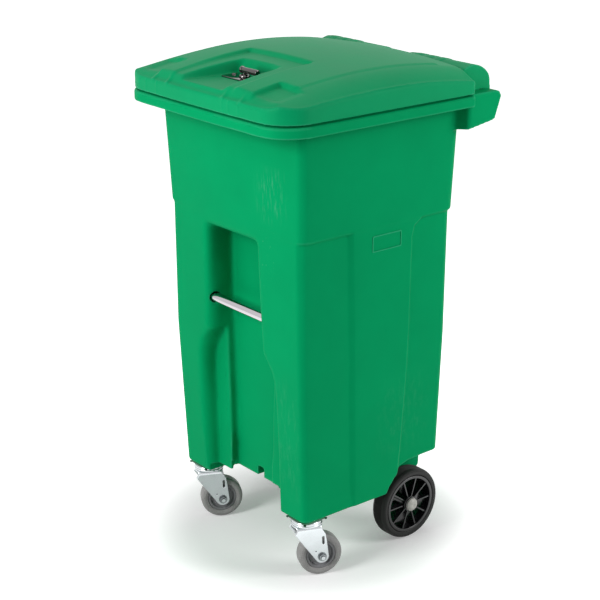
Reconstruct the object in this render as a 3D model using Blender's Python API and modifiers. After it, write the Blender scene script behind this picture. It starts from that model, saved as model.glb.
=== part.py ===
"""Wheeled trash can: a moulded tub with a hinged lid, two front casters and a rear axle.

Metres, +Z up, front towards -Y, origin on the floor under the middle of the can.
"""
import math

import bmesh
import bpy
from mathutils import Matrix, Vector

# Fit and wall sizes
GAP = 0.0003
WALL = 0.005
FLOOR = 0.007
INCH = 0.0254

# Tub: height, half width, front, rear, front corner radius, rear corner radius, the bow of
# its front and how far its front corners are set in
TUB_BOTTOM = 0.130
STEP_LOW = 0.703
STEP_HIGH = 0.711
PANEL_DEPTH = 0.0035
LEVELS = (
    (TUB_BOTTOM, 0.1937, -0.1752, 0.1763, 0.012, 0.015, 0.0, 0.0),
    (0.135, 0.1978, -0.1795, 0.1805, 0.0135, 0.020, 0.0, 0.0),
    (0.449, 0.2045, -0.1929, 0.1881, 0.014, 0.022, 0.0025, 0.0),
    (STEP_LOW, 0.2056, -0.1962, 0.1929, 0.014, 0.024, 0.0075, 0.0027),
    (STEP_HIGH, 0.2092, -0.1970, 0.1963, 0.018, 0.027, 0.0075, 0.0),
    (0.891, 0.2171, -0.2041, 0.2038, 0.018, 0.034, 0.0075, 0.0),
    (0.925, 0.2186, -0.2057, 0.2052, 0.018, 0.036, 0.0075, 0.0),
)
RIM_LOW = 0.916
RIM_TOP = 0.937
RIM_HALF = 0.2508
RIM_FRONT = -0.2732
RIM_REAR = 0.199
RIM_BOW = 0.0027
RIM_CORNER = 0.064
LIP_TOP = 0.946

# Side bands between the recessed corner panels: height, front edge, rear edge
BAND = (
    (0.132, -0.060, 0.0655),
    (0.187, -0.062, 0.066),
    (0.257, -0.065, 0.071),
    (0.400, -0.071, 0.0786),
    (0.500, -0.074, 0.081),
    (0.670, -0.078, 0.0835),
    (0.693, -0.0785, 0.089),
    (STEP_LOW, -0.079, 0.107),
)

# Front recess: height, half width at the face, half width at the back
FACE_Y = -0.192
POCKET_BACK = -0.139
POCKET_TOP = 0.687
POCKET_SIDES = (
    (0.100, 0.0695, 0.0690),
    (0.200, 0.0695, 0.0685),
    (0.300, 0.0725, 0.0698),
    (0.380, 0.0795, 0.0722),
    (0.433, 0.0820, 0.0738),
    (0.470, 0.0868, 0.0750),
    (0.530, 0.0827, 0.0758),
    (0.620, 0.0800, 0.0785),
)
LOWER_POCKET_BACK = -0.157
LOWER_POCKET_SIDES = (
    (0.100, 0.1200, 0.1120),
    (0.200, 0.1200, 0.1100),
    (0.300, 0.1205, 0.1120),
    (0.375, 0.1195, 0.1150),
    (0.407, 0.1175, 0.1112),
    (0.430, 0.1115, 0.1000),
    (0.450, 0.0965, 0.0890),
    (0.463, 0.0850, 0.0780),
)

# Underside
UNDERSIDE = 0.155
UNDERSIDE_FRONT = 0.143
NOTCH_TOP = 0.1745
FOOT_IN = 0.125

# Lift bar
BAR_RADIUS = 0.75 * INCH / 2
BAR_Y = -0.180
BAR_Z = 0.5285
BAR_HALF = 0.106
BAR_CAP_RADIUS = 0.0113

# Handle and hinge
HINGE_Y = 0.247
HINGE_Z = 0.921
GRIP_RADIUS = 0.016
ARM_IN = 0.216
ARM_OUT = 0.243
REAR_WALL_Y = 0.185
LUG_IN = 0.040
LUG_OUT = 0.215

# Lid
LID_HALF = 0.2488
LID_FRONT = -0.272
LID_REAR = 0.1987
LID_BOTTOM = 0.939
LID_CORNER = 0.064
LID_INSET = 0.006
LID_THICK = 0.004
LID_BOW = 0.003

# Latch
POCKET_FLOOR = 0.9785
LATCH_Y = -0.162
SPINDLE_RADIUS = 0.0042
SCREW_RADIUS = 0.002
PLATE_SCREW_X = 0.034
LEVER_Z = 0.9935
CAM_Z = 0.9215
CAM_THICK = 0.003
KEEPER_WALL = -0.2080
KEEPER_SCREW_X = 0.011
KEEPER_SCREW_Z = 0.903

# Rear wheels
AXLE_RADIUS = INCH / 4
AXLE_Y = 0.1194
WHEEL_RADIUS = 3 * INCH
WHEEL_IN = 0.1454
WHEEL_OUT = 0.1834
WELL_IN = 0.1405
WHEEL_STEPS = 32

# Casters
CASTER_X = 0.1637
CASTER_Y = -0.146
CASTER_TRAIL = 0.026
CASTER_RADIUS = 1.75 * INCH
CASTER_TURN = {"right": -22.0, "left": -27.0}
FORK_IN = 0.0185
FORK_OUT = 0.0215
CASTER_STEPS = 24
PLATE_HALF = 0.033
PLATE_BOLT_REACH = 0.0268
PLATE_BOLT_RADIUS = 0.003
PLATE_TOP = TUB_BOTTOM - GAP
PLATE_LOW = PLATE_TOP - 0.003
RACE_TOP = PLATE_LOW - GAP
RACE_LOW = RACE_TOP - 0.0118
CROWN_TOP = RACE_LOW - GAP
CROWN_LOW = CROWN_TOP - 0.003
KINGPIN_RADIUS = 0.005
AXLE_BOLT_RADIUS = 0.004

COLOURS = {
    "tub_green": ((0.004, 0.34, 0.165), 0.45, 0.0),
    "lid_green": ((0.004, 0.33, 0.165), 0.42, 0.0),
    "zinc_steel": ((0.55, 0.55, 0.54), 0.35, 0.9),
    "chrome": ((0.75, 0.75, 0.76), 0.15, 1.0),
    "bar_steel": ((0.42, 0.42, 0.42), 0.30, 0.9),
    "axle_steel": ((0.48, 0.48, 0.49), 0.35, 0.9),
    "tyre_black": ((0.02, 0.02, 0.021), 0.70, 0.0),
    "hub_black": ((0.015, 0.015, 0.016), 0.25, 0.0),
    "cap_grey": ((0.50, 0.51, 0.52), 0.45, 0.0),
    "caster_grey": ((0.33, 0.335, 0.34), 0.50, 0.0),
    "tread_grey": ((0.40, 0.405, 0.41), 0.60, 0.0),
}


def clear_scene():
    for obj in list(bpy.data.objects):
        bpy.data.objects.remove(obj, do_unlink=True)


def collection_named(name, hidden=False):
    collection = bpy.data.collections.new(name)
    bpy.context.scene.collection.children.link(collection)
    collection.hide_render = hidden
    return collection


clear_scene()
PARTS = collection_named("wheeled_trash_can")
CUTTERS = collection_named("cutters", hidden=True)


def material_named(name):
    known = bpy.data.materials.get(name)
    if known:
        return known
    colour, roughness, metallic = COLOURS[name]
    material = bpy.data.materials.new(name)
    material.use_nodes = True
    shader = material.node_tree.nodes["Principled BSDF"]
    shader.inputs["Base Color"].default_value = (*colour, 1.0)
    shader.inputs["Roughness"].default_value = roughness
    shader.inputs["Metallic"].default_value = metallic
    return material


def object_of(name, mesh, material=None):
    """A new object in the parts, or among the cutters when it has no material."""
    obj = bpy.data.objects.new(name, mesh)
    if material is None:
        CUTTERS.objects.link(obj)
        obj.hide_render = True
        obj.display_type = "WIRE"
    else:
        PARTS.objects.link(obj)
        mesh.materials.append(material_named(material))
    return obj


def mesh_from(bm, name, smooth=True):
    bmesh.ops.recalc_face_normals(bm, faces=bm.faces)
    mesh = bpy.data.meshes.new(name)
    bm.to_mesh(mesh)
    bm.free()
    if smooth:
        mesh.shade_smooth()
        mesh.set_sharp_from_angle(angle=math.radians(35))
    return mesh


def loft(name, rings, material=None):
    """A closed solid through rings of equal point counts, capped at both ends."""
    bm = bmesh.new()
    rows = [[bm.verts.new(point) for point in ring] for ring in rings]
    count = len(rows[0])
    for low, high in zip(rows, rows[1:]):
        for i in range(count):
            j = (i + 1) % count
            bm.faces.new((low[i], low[j], high[j], high[i]))
    bm.faces.new(rows[0])
    bm.faces.new(rows[-1])
    return object_of(name, mesh_from(bm, name), material)


def box(name, low, high, material=None):
    bm = bmesh.new()
    bmesh.ops.create_cube(bm, size=1.0)
    size = Vector(high) - Vector(low)
    middle = (Vector(high) + Vector(low)) / 2
    bmesh.ops.scale(bm, vec=size, verts=bm.verts)
    bmesh.ops.translate(bm, vec=middle, verts=bm.verts)
    return object_of(name, mesh_from(bm, name, smooth=False), material)


def bevelled(obj, width, segments=2):
    bevel = obj.modifiers.new("rounded edges", "BEVEL")
    bevel.width = width
    bevel.segments = segments
    bevel.limit_method = "ANGLE"
    bevel.angle_limit = math.radians(50)
    return obj


def along(axis):
    """Rotation that turns local +Z to the axis."""
    return Vector(axis).to_track_quat("Z", "Y").to_matrix().to_4x4()


def rod(name, radius, start, end, material=None, sides=24):
    start = Vector(start)
    end = Vector(end)
    bm = bmesh.new()
    bmesh.ops.create_cone(
        bm, cap_ends=True, segments=sides, radius1=radius, radius2=radius,
        depth=(end - start).length,
    )
    off_grid = Matrix.Rotation(math.radians(7), 4, "Z")
    place = Matrix.Translation((start + end) / 2) @ along(end - start) @ off_grid
    bmesh.ops.transform(bm, matrix=place, verts=bm.verts)
    return object_of(name, mesh_from(bm, name), material)


def turned(name, profile, centre, axis, material, steps=32, spin=0.0):
    """A closed profile of (radius, height) turned about the axis through the centre."""
    mesh = bpy.data.meshes.new(name)
    pairs = zip(profile, profile[1:] + profile[:1])
    area = sum(a[0] * b[1] - b[0] * a[1] for a, b in pairs)
    if area > 0:
        profile = list(reversed(profile))
    points = [(radius, 0.0, height) for radius, height in profile]
    closing = profile[0][0] > 0 and profile[-1][0] > 0
    edges = [(i, i + 1) for i in range(len(points) - 1)]
    if closing:
        edges.append((len(points) - 1, 0))
    mesh.from_pydata(points, edges, [])
    obj = object_of(name, mesh, material)
    screw = obj.modifiers.new("turn", "SCREW")
    screw.axis = "Z"
    screw.steps = steps
    screw.render_steps = steps
    screw.use_merge_vertices = True
    screw.merge_threshold = 0.00005
    start = Matrix.Rotation(math.radians(spin), 4, "Z")
    obj.matrix_world = Matrix.Translation(centre) @ along(axis) @ start
    return obj


def flat_radius(radius, steps):
    """The corner radius of a turned wheel whose flats touch the circle, so it rests on one."""
    return radius / math.cos(math.pi / steps)


def outline(name, points, plane, low, high, material=None):
    """A flat outline filled and given thickness from low to high along the third axis."""
    curve = bpy.data.curves.new(name, "CURVE")
    curve.dimensions = "2D"
    curve.fill_mode = "BOTH"
    curve.extrude = (high - low) / 2
    spline = curve.splines.new("POLY")
    spline.points.add(len(points) - 1)
    for point, (a, b) in zip(spline.points, points):
        point.co = (a, b, 0.0, 1.0)
    spline.use_cyclic_u = True
    guide = bpy.data.objects.new(name, curve)
    bpy.context.scene.collection.objects.link(guide)
    middle = (low + high) / 2
    columns = {
        "YZ": ((0, 1, 0), (0, 0, 1), (1, 0, 0), (middle, 0, 0)),
        "XZ": ((1, 0, 0), (0, 0, 1), (0, -1, 0), (0, middle, 0)),
        "XY": ((1, 0, 0), (0, 1, 0), (0, 0, 1), (0, 0, middle)),
    }[plane]
    guide.matrix_world = Matrix([list(row) + [0] for row in zip(*columns[:3])] + [[0, 0, 0, 1]])
    guide.matrix_world.translation = Vector(columns[3])
    bpy.context.view_layer.update()
    graph = bpy.context.evaluated_depsgraph_get()
    mesh = bpy.data.meshes.new_from_object(guide.evaluated_get(graph))
    mesh.transform(guide.matrix_world)
    mesh.materials.clear()
    bpy.data.objects.remove(guide)
    bm = bmesh.new()
    bm.from_mesh(mesh)
    bmesh.ops.remove_doubles(bm, verts=bm.verts, dist=0.00001)
    bmesh.ops.dissolve_limit(bm, angle_limit=math.radians(1), verts=bm.verts, edges=bm.edges)
    bpy.data.meshes.remove(mesh)
    return object_of(name, mesh_from(bm, name), material)


def boolean(target, tools, operation="DIFFERENCE"):
    for tool in tools:
        modifier = target.modifiers.new(f"{operation.lower()} {tool.name}", "BOOLEAN")
        modifier.operation = operation
        modifier.solver = "EXACT"
        modifier.object = tool
    return target


def arc(centre_a, centre_b, radius, start, end, steps):
    """Points of an arc from the start to the end angle, in degrees."""
    angles = [math.radians(start + (end - start) * i / steps) for i in range(steps + 1)]
    return [(centre_a + radius * math.cos(t), centre_b + radius * math.sin(t)) for t in angles]


def smooth_step(value, low, high):
    part = min(1.0, max(0.0, (value - low) / (high - low)))
    return part * part * (3 - 2 * part)


def rounded(half, front, rear, front_radius, rear_radius, z, bow=0.0, dip=0.0, steps=4):
    """A rounded rectangle at one height, its front bowed out and its front corners set in."""
    ring = arc(half - front_radius, front + front_radius, front_radius, -90, 0, steps)
    set_in = [dip * smooth_step(i / steps, 0.0, 0.45) for i in range(steps + 1)]
    ring = [(x, y + inward) for (x, y), inward in zip(ring, set_in)]
    ring += arc(half - rear_radius, rear - rear_radius, rear_radius, 0, 90, steps)
    ring += [(-x, y) for x, y in reversed(ring)]
    straight = half - front_radius
    ring += [(straight * part, front - bow * (1 - part**2)) for part in (-0.5, 0.0, 0.5)]
    return [(x, y, z) for x, y in ring]


def level_at(z):
    """The tub's outer sizes at one height, in the order of the table of levels."""
    for low, high in zip(LEVELS, LEVELS[1:]):
        if z <= high[0]:
            part = (z - low[0]) / (high[0] - low[0])
            return [a + (b - a) * part for a, b in zip(low[1:], high[1:])]
    return list(LEVELS[-1][1:])


def tub_ring(z, inset=0.0, ease=0.0):
    """The tub's outline at one height, drawn in by the inset."""
    half, front, rear, front_radius, rear_radius, bow, dip = level_at(z)
    return rounded(
        half - inset, front + inset, rear - inset, front_radius - ease, rear_radius - ease, z,
        bow, dip,
    )


def recess_ring(sides, column, y, grow, top=None):
    """One outline of a recess, from its table of half widths, at one depth."""
    half = [(row[column] + grow, row[0]) for row in sides]
    if top is not None:
        radius = 0.014 + grow
        half += arc(half[-1][0] - 0.001 - radius, top + grow - radius, radius, 5, 90, 4)
    outline_points = [(-x, z) for x, z in half] + half[::-1]
    return [(x, y, z) for x, z in outline_points]


def recess_cutter(name, sides, back, grow=0.0, tops=(None, None)):
    """A recess as one solid, narrowing from the face to its back."""
    return loft(name, [
        recess_ring(sides, 1, -0.30, grow, tops[0]),
        recess_ring(sides, 1, FACE_Y, grow, tops[0]),
        recess_ring(sides, 2, back + grow, grow, tops[1]),
    ])


def recess_cutters(name, grow=0.0):
    return [
        recess_cutter(f"pocket{name}", POCKET_SIDES, POCKET_BACK, grow,
                      (POCKET_TOP, POCKET_TOP - 0.006)),
        recess_cutter(f"lower_pocket{name}", LOWER_POCKET_SIDES, LOWER_POCKET_BACK, grow),
    ]


def well_outline(grow):
    """The wheel arch from the side, open to the floor and to the rear."""
    arch = [
        (0.0335, 0.129), (0.0423, 0.147), (0.0479, 0.1525), (0.0681, 0.180),
        (0.0718, 0.1836), (0.093, 0.1895), (0.120, 0.191), (0.300, 0.1935),
    ]
    lifted = [(y - grow * 0.8, z + grow) for y, z in arch]
    return [(0.0335 - grow, 0.10)] + lifted + [(0.300, 0.10)]


def make_cavity():
    """The space inside the tub, held back from every hollow that comes in from outside."""
    mouth = 0.918
    rings = [tub_ring(TUB_BOTTOM + FLOOR, WALL + 0.006, WALL / 2)]
    rings += [tub_ring(z, WALL, WALL / 2) for z in (0.150, 0.449, STEP_LOW, STEP_HIGH, 0.891, mouth)]
    rings.append([(x, y, 0.960) for x, y, z in rings[-1]])
    cavity = loft("cavity", rings)
    keep_out = recess_cutters("_wall", WALL) + [
        box("underside_wall", (-0.115, -0.30, 0.10), (0.115, -0.015, UNDERSIDE + FLOOR)),
        box("rear_wall", (-0.206, REAR_WALL_Y - WALL, 0.792), (0.206, 0.30, 1.0)),
    ]
    for side, sign in (("right", 1), ("left", -1)):
        low, high = sorted((sign * (WELL_IN - WALL), sign * 0.30))
        keep_out.append(outline(f"well_wall_{side}", well_outline(WALL), "YZ", low, high))
        low, high = sorted((sign * FOOT_IN, sign * 0.25))
        keep_out.append(box(f"foot_block_{side}", (low, -0.25, 0.10), (high, -0.105, 0.152)))
    return boolean(cavity, keep_out)


def make_band(sign):
    """The raised band on one side, between the two recessed corner panels."""
    rings = []
    for z, front, rear in BAND:
        half = level_at(z)[0]
        outer = half + PANEL_DEPTH
        ease = PANEL_DEPTH + 0.001
        xs = (half - 0.002, half - 0.001, outer, outer, half - 0.001, half - 0.002)
        ys = (front, front, front + ease, rear - ease, rear, rear)
        rings.append([(sign * x, y, z) for x, y in zip(xs, ys)])
    top_half = level_at(STEP_HIGH)[0]
    last_xs = (half - 0.002, half - 0.001, top_half - 0.0003, top_half - 0.0003,
               half - 0.001, half - 0.002)
    rings.append([(sign * x, y, STEP_HIGH + 0.002) for x, y in zip(last_xs, ys)])
    return loft(f"band_{'right' if sign > 0 else 'left'}", rings)


def arm_outline():
    return [
        (0.150, 0.930), (0.160, 0.9388), (0.263, 0.9388), (0.271, 0.9362), (0.2765, 0.9265),
        (0.2605, 0.885), (0.253, 0.8815), (0.192, 0.8640), (0.150, 0.880),
    ]


def axle_rib_outline():
    """A rib that carries the axle, wide at the tub's floor and round below."""
    around = arc(AXLE_Y, WHEEL_RADIUS, 0.018, 200, 340, 8)
    return [(0.070, 0.142)] + around + [(0.168, 0.142)]


def make_rim_hollow():
    """The groove under the rim, so that the rim is a turned-down flange."""
    inset = 0.004
    outer = [
        rounded(RIM_HALF - inset, RIM_FRONT + inset, 0.150, RIM_CORNER - inset, 0.01, z, RIM_BOW)
        for z in (0.890, RIM_TOP - inset)
    ]
    groove = loft("rim_hollow", outer)
    neck = tub_ring(LEVELS[-1][0], -0.001)
    inner = [[(x, y, z) for x, y, _ in neck] for z in (0.880, 0.950)]
    return boolean(groove, [loft("rim_hollow_inside", inner)])


def make_tub():
    tub = loft("tub", [tub_ring(level[0]) for level in LEVELS], "tub_green")
    rim = [
        rounded(RIM_HALF - ease, RIM_FRONT + ease, RIM_REAR, RIM_CORNER - ease, 0.006, z, RIM_BOW)
        for ease, z in ((0.001, RIM_LOW), (0.0, RIM_LOW + 0.0015), (0.0, RIM_TOP - 0.003),
                        (0.003, RIM_TOP))
    ]
    lip = [
        rounded(RIM_HALF - inset, RIM_FRONT + inset, 0.1845, RIM_CORNER - inset, 0.008, z, RIM_BOW)
        for inset, z in ((0.012, 0.930), (0.012, LIP_TOP - 0.001), (0.013, LIP_TOP))
    ]
    lip_inside = [
        rounded(RIM_HALF - 0.017, RIM_FRONT + 0.017, 0.1805, RIM_CORNER - 0.017, 0.006, z, RIM_BOW)
        for z in (RIM_TOP - 0.0005, 0.960)
    ]
    boolean(tub, [box("rear_recess", (-0.200, REAR_WALL_Y, 0.800), (0.200, 0.30, 0.9305))])
    boolean(tub, [loft("rim", rim), loft("lip", lip), make_band(1), make_band(-1)], "UNION")
    added = []
    for side, sign in (("right", 1), ("left", -1)):
        low, high = sorted((sign * ARM_IN, sign * ARM_OUT))
        arm = outline(f"arm_{side}", arm_outline(), "YZ", low, high)
        added.append(bevelled(arm, 0.003))
        low, high = sorted((sign * 0.100, sign * 0.139))
        added.append(outline(f"axle_rib_{side}", axle_rib_outline(), "YZ", low, high))
    grip_end = (ARM_IN + 0.006, HINGE_Y, HINGE_Z)
    added.append(rod("grip", GRIP_RADIUS, (-grip_end[0], *grip_end[1:]), grip_end, sides=20))
    boolean(tub, added, "UNION")
    cutters = [
        loft("lip_inside", lip_inside),
        make_rim_hollow(),
        *recess_cutters(""),
        box("underside", (-0.108, -0.15, 0.10), (0.108, -0.020, UNDERSIDE)),
        box("underside_front", (-0.108, -0.16, 0.10), (0.108, -0.145, UNDERSIDE_FRONT)),
        box("notch_middle", (-0.0015, -0.15, 0.10), (0.0175, POCKET_BACK + 0.003, NOTCH_TOP)),
        box("notch_right", (0.0625, -0.15, 0.10), (0.0700, POCKET_BACK + 0.003, NOTCH_TOP)),
        make_cavity(),
        box("keeper_seat", (-0.0185, KEEPER_WALL, 0.893), (0.0185, -0.190, 0.970)),
        rod("axle_hole", AXLE_RADIUS + GAP, (-0.2, AXLE_Y, WHEEL_RADIUS),
            (0.2, AXLE_Y, WHEEL_RADIUS)),
        rod("bar_hole", BAR_RADIUS + 0.0005, (-0.103, BAR_Y, BAR_Z), (0.103, BAR_Y, BAR_Z)),
    ]
    for side, sign in (("right", 1), ("left", -1)):
        low, high = sorted((sign * WELL_IN, sign * 0.30))
        cutters.append(outline(f"well_{side}", well_outline(0.0), "YZ", low, high))
        for x, y in plate_bolt_places(sign):
            cutters.append(rod("plate_bolt_hole", PLATE_BOLT_RADIUS + GAP, (x, y, 0.12),
                               (x, y, 0.1465), sides=10))
        x = sign * KEEPER_SCREW_X
        cutters.append(rod("keeper_screw_hole", SCREW_RADIUS + GAP, (x, KEEPER_WALL - 0.0035,
                           KEEPER_SCREW_Z), (x, -0.19, KEEPER_SCREW_Z), sides=8))
    boolean(tub, cutters)
    return tub


def lid_band_height(x, y):
    """The sloping band round the raised panel, from the shoulder inwards."""
    along_y = y + 0.003
    shoulder = 0.9825 - (0.22 if along_y < 0 else 0.40) * along_y**2
    side = LID_HALF - LID_INSET - abs(x)
    front = y - (LID_FRONT + LID_INSET)
    rise = min(0.31 * side, 0.5 * front, 0.0164)
    crown = 0.256 * (0.19**2 - min(abs(x), 0.19) ** 2) * smooth_step(front, 0.0, 0.03)
    return shoulder + max(0.0, rise) + crown


def lid_height(x, y):
    """The lid's top: a crowned panel, a plateau let into it and the latch pocket."""
    ax = abs(x)
    band = lid_band_height(x, y)
    along_y = y + 0.007
    panel = 1.0168 - 0.256 * x**2 - (0.414 if along_y < 0 else 0.436) * along_y**2
    panel_half = 0.144 if y < -0.189 else 0.1895
    inside = 1 - smooth_step(ax, panel_half - 0.0025, panel_half + 0.0025)
    inside *= smooth_step(y, -0.2565, -0.250) * (1 - smooth_step(y, 0.150, 0.156))
    if ax > 0.1445:
        inside *= smooth_step(y, -0.192, -0.186)
    height = band + inside * max(0.0, panel - band)
    shelf = smooth_step(ax, 0.142, 0.147) * (1 - smooth_step(ax, 0.187, 0.192))
    shelf *= smooth_step(y, -0.262, -0.250) * (1 - smooth_step(y, -0.192, -0.186))
    height -= 0.005 * shelf
    plateau = (1 - smooth_step(ax, 0.092, 0.097)) * (1 - smooth_step(y, -0.078, -0.072))
    depth = 0.0075 - 0.005 * smooth_step(-y, 0.08, 0.25)
    height -= depth * plateau * smooth_step(y, -0.262, -0.250)
    flare = min(1.0, max(0.0, (-0.118 - y) / 0.141))
    pocket = 1 - smooth_step(ax, 0.046 + 0.011 * flare, 0.056 + 0.012 * flare)
    pocket *= 1 - smooth_step(y, -0.130, -0.118)
    if height > POCKET_FLOOR:
        height += pocket * (POCKET_FLOOR - height)
    return height


LID_ROWS = (
    -0.266, -0.262, -0.2565, -0.250, -0.233, -0.214, -0.192, -0.186, -0.155, -0.130, -0.118,
    -0.078, -0.072, -0.030, 0.020, 0.065, 0.110, 0.150, 0.156, 0.1927,
)


def lid_columns(y):
    """Half of the grid's lines across the lid at one row, drawn in round the front corners."""
    flare = min(1.0, max(0.0, (-0.118 - y) / 0.141))
    floor_edge = 0.046 + 0.011 * flare
    top_edge = 0.056 + 0.012 * flare
    lines = [0.0, floor_edge, top_edge, 0.092, 0.097, 0.142, 0.147, 0.187, 0.192, 0.220,
             LID_HALF - LID_INSET]
    radius = LID_CORNER - LID_INSET
    drop = LID_FRONT + LID_INSET + radius - y
    edge = LID_HALF - LID_INSET
    if drop > 0:
        edge -= radius - math.sqrt(max(0.0, radius**2 - drop**2))
    held = 0.147
    whole = LID_HALF - LID_INSET - held
    return [x if x <= held else held + (x - held) * (edge - held) / whole for x in lines]


def lid_bow(x, y):
    """How far the lid's front edge bows out at one point."""
    straight = LID_HALF - LID_CORNER
    return LID_BOW * (1 - min(1.0, abs(x) / straight) ** 2) * (1 - smooth_step(y, -0.266, -0.21))


def lid_outward(x, y):
    """The direction out of the lid at a point of its border."""
    radius = LID_CORNER - LID_INSET
    centre_x = LID_HALF - LID_CORNER
    centre_y = LID_FRONT + LID_CORNER
    side = 1 if x > 0 else -1
    if y < centre_y and abs(x) > centre_x - 0.0001:
        return Vector((side * (abs(x) - centre_x) / radius, (y - centre_y) / radius))
    if y > LID_ROWS[-1] - 0.0001:
        at_corner = abs(x) > LID_HALF - LID_INSET - 0.0001
        return Vector((side * 0.85, 0.85)) if at_corner else Vector((0.0, 1.0))
    if y < LID_ROWS[0] + 0.0001:
        return Vector((0.0, -1.0))
    return Vector((side, 0.0))


def make_lid_shell():
    """The lid as an open sheet on a grid that follows its edges, thickened inwards."""
    bm = bmesh.new()
    grid = []
    for y in LID_ROWS:
        half = lid_columns(y)
        xs = [-x for x in reversed(half[1:])] + half
        grid.append([bm.verts.new((x, y - lid_bow(x, y), lid_height(x, y))) for x in xs])
    for low, high in zip(grid, grid[1:]):
        for a, b, c, d in zip(low, low[1:], high[1:], high):
            bm.faces.new((a, b, c, d))
    border = grid[0] + [row[-1] for row in grid[1:]] + list(reversed(grid[-1]))[1:]
    border += [row[0] for row in reversed(grid[1:-1])]
    outward = []
    for vert in border:
        bowed = vert.co.y + lid_bow(vert.co.x, LID_ROWS[0]) if vert in grid[0] else vert.co.y
        outward.append(lid_outward(vert.co.x, bowed))
    last = border
    for reach, drop in ((0.0045, 0.0018), (LID_INSET, 0.007), (LID_INSET, None)):
        ring = []
        for vert, direction in zip(border, outward):
            z = LID_BOTTOM if drop is None else vert.co.z - drop
            ring.append(bm.verts.new((
                vert.co.x + direction.x * reach, vert.co.y + direction.y * reach, z,
            )))
        for i in range(len(border)):
            j = (i + 1) % len(border)
            bm.faces.new((last[i], ring[i], ring[j], last[j]))
        last = ring
    lid = object_of("lid", mesh_from(bm, "lid"), "lid_green")
    shell = lid.modifiers.new("shell", "SOLIDIFY")
    shell.thickness = LID_THICK
    shell.offset = -1.0
    return lid


def lug_outline(grow=0.0):
    """A hinge lug from the side: a hook that wraps the grip and a neck up to the lid."""
    bore = GRIP_RADIUS + 0.0015
    hook = arc(HINGE_Y, HINGE_Z, bore, -35, 205, 8)
    outside = [(0.190, 0.968), (0.1995, 0.9835), (0.2224, 0.9897), (0.240, 0.9865),
               (0.254, 0.9794), (0.264, 0.971), (0.270, 0.9615), (0.2725, 0.9384)]
    tail = arc(HINGE_Y, HINGE_Z, 0.0255, 0, -35, 3)
    front = arc(HINGE_Y, HINGE_Z, 0.0255, 205, 158, 3) + [(0.2205, 0.945), (0.205, 0.957)]
    middle = Vector((HINGE_Y, HINGE_Z))
    grown = []
    for point in outside:
        away = (Vector(point) - middle).normalized() * grow
        grown.append((point[0] + away.x, point[1] + away.y))
    return grown + tail + hook + front + [(0.192, 0.957)]


def make_lid():
    lid = make_lid_shell()
    lugs = []
    for side, sign in (("right", 1), ("left", -1)):
        low, high = sorted((sign * LUG_IN, sign * LUG_OUT))
        lugs.append(outline(f"lug_{side}", lug_outline(), "YZ", low, high))
        start = 0.067 if sign > 0 else -0.194
        for number in range(3):
            middle = start + number * 0.0305
            lugs.append(outline(f"lug_rib_{side}_{number}", lug_outline(0.0016), "YZ",
                                middle - 0.0095, middle + 0.0095))
    boolean(lid, lugs, "UNION")
    holes = [rod("spindle_hole", SPINDLE_RADIUS + GAP, (0, LATCH_Y, 0.96), (0, LATCH_Y, 0.99),
                 sides=16)]
    for sign in (1, -1):
        x = sign * PLATE_SCREW_X
        holes.append(rod("latch_screw_hole", SCREW_RADIUS + GAP, (x, LATCH_Y, 0.96),
                         (x, LATCH_Y, 0.99), sides=8))
    boolean(lid, holes)
    return lid


def screw(name, place, axis, length, head=0.0045, material="zinc_steel"):
    """A dome-headed screw: the head's underside is at the place, the shank goes down."""
    profile = [(0.0, head * 0.5), (head * 0.6, head * 0.42), (head, 0.0), (SCREW_RADIUS, 0.0),
               (SCREW_RADIUS, -length), (0.0, -length)]
    return turned(name, profile, place, axis, material, steps=12)


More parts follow.
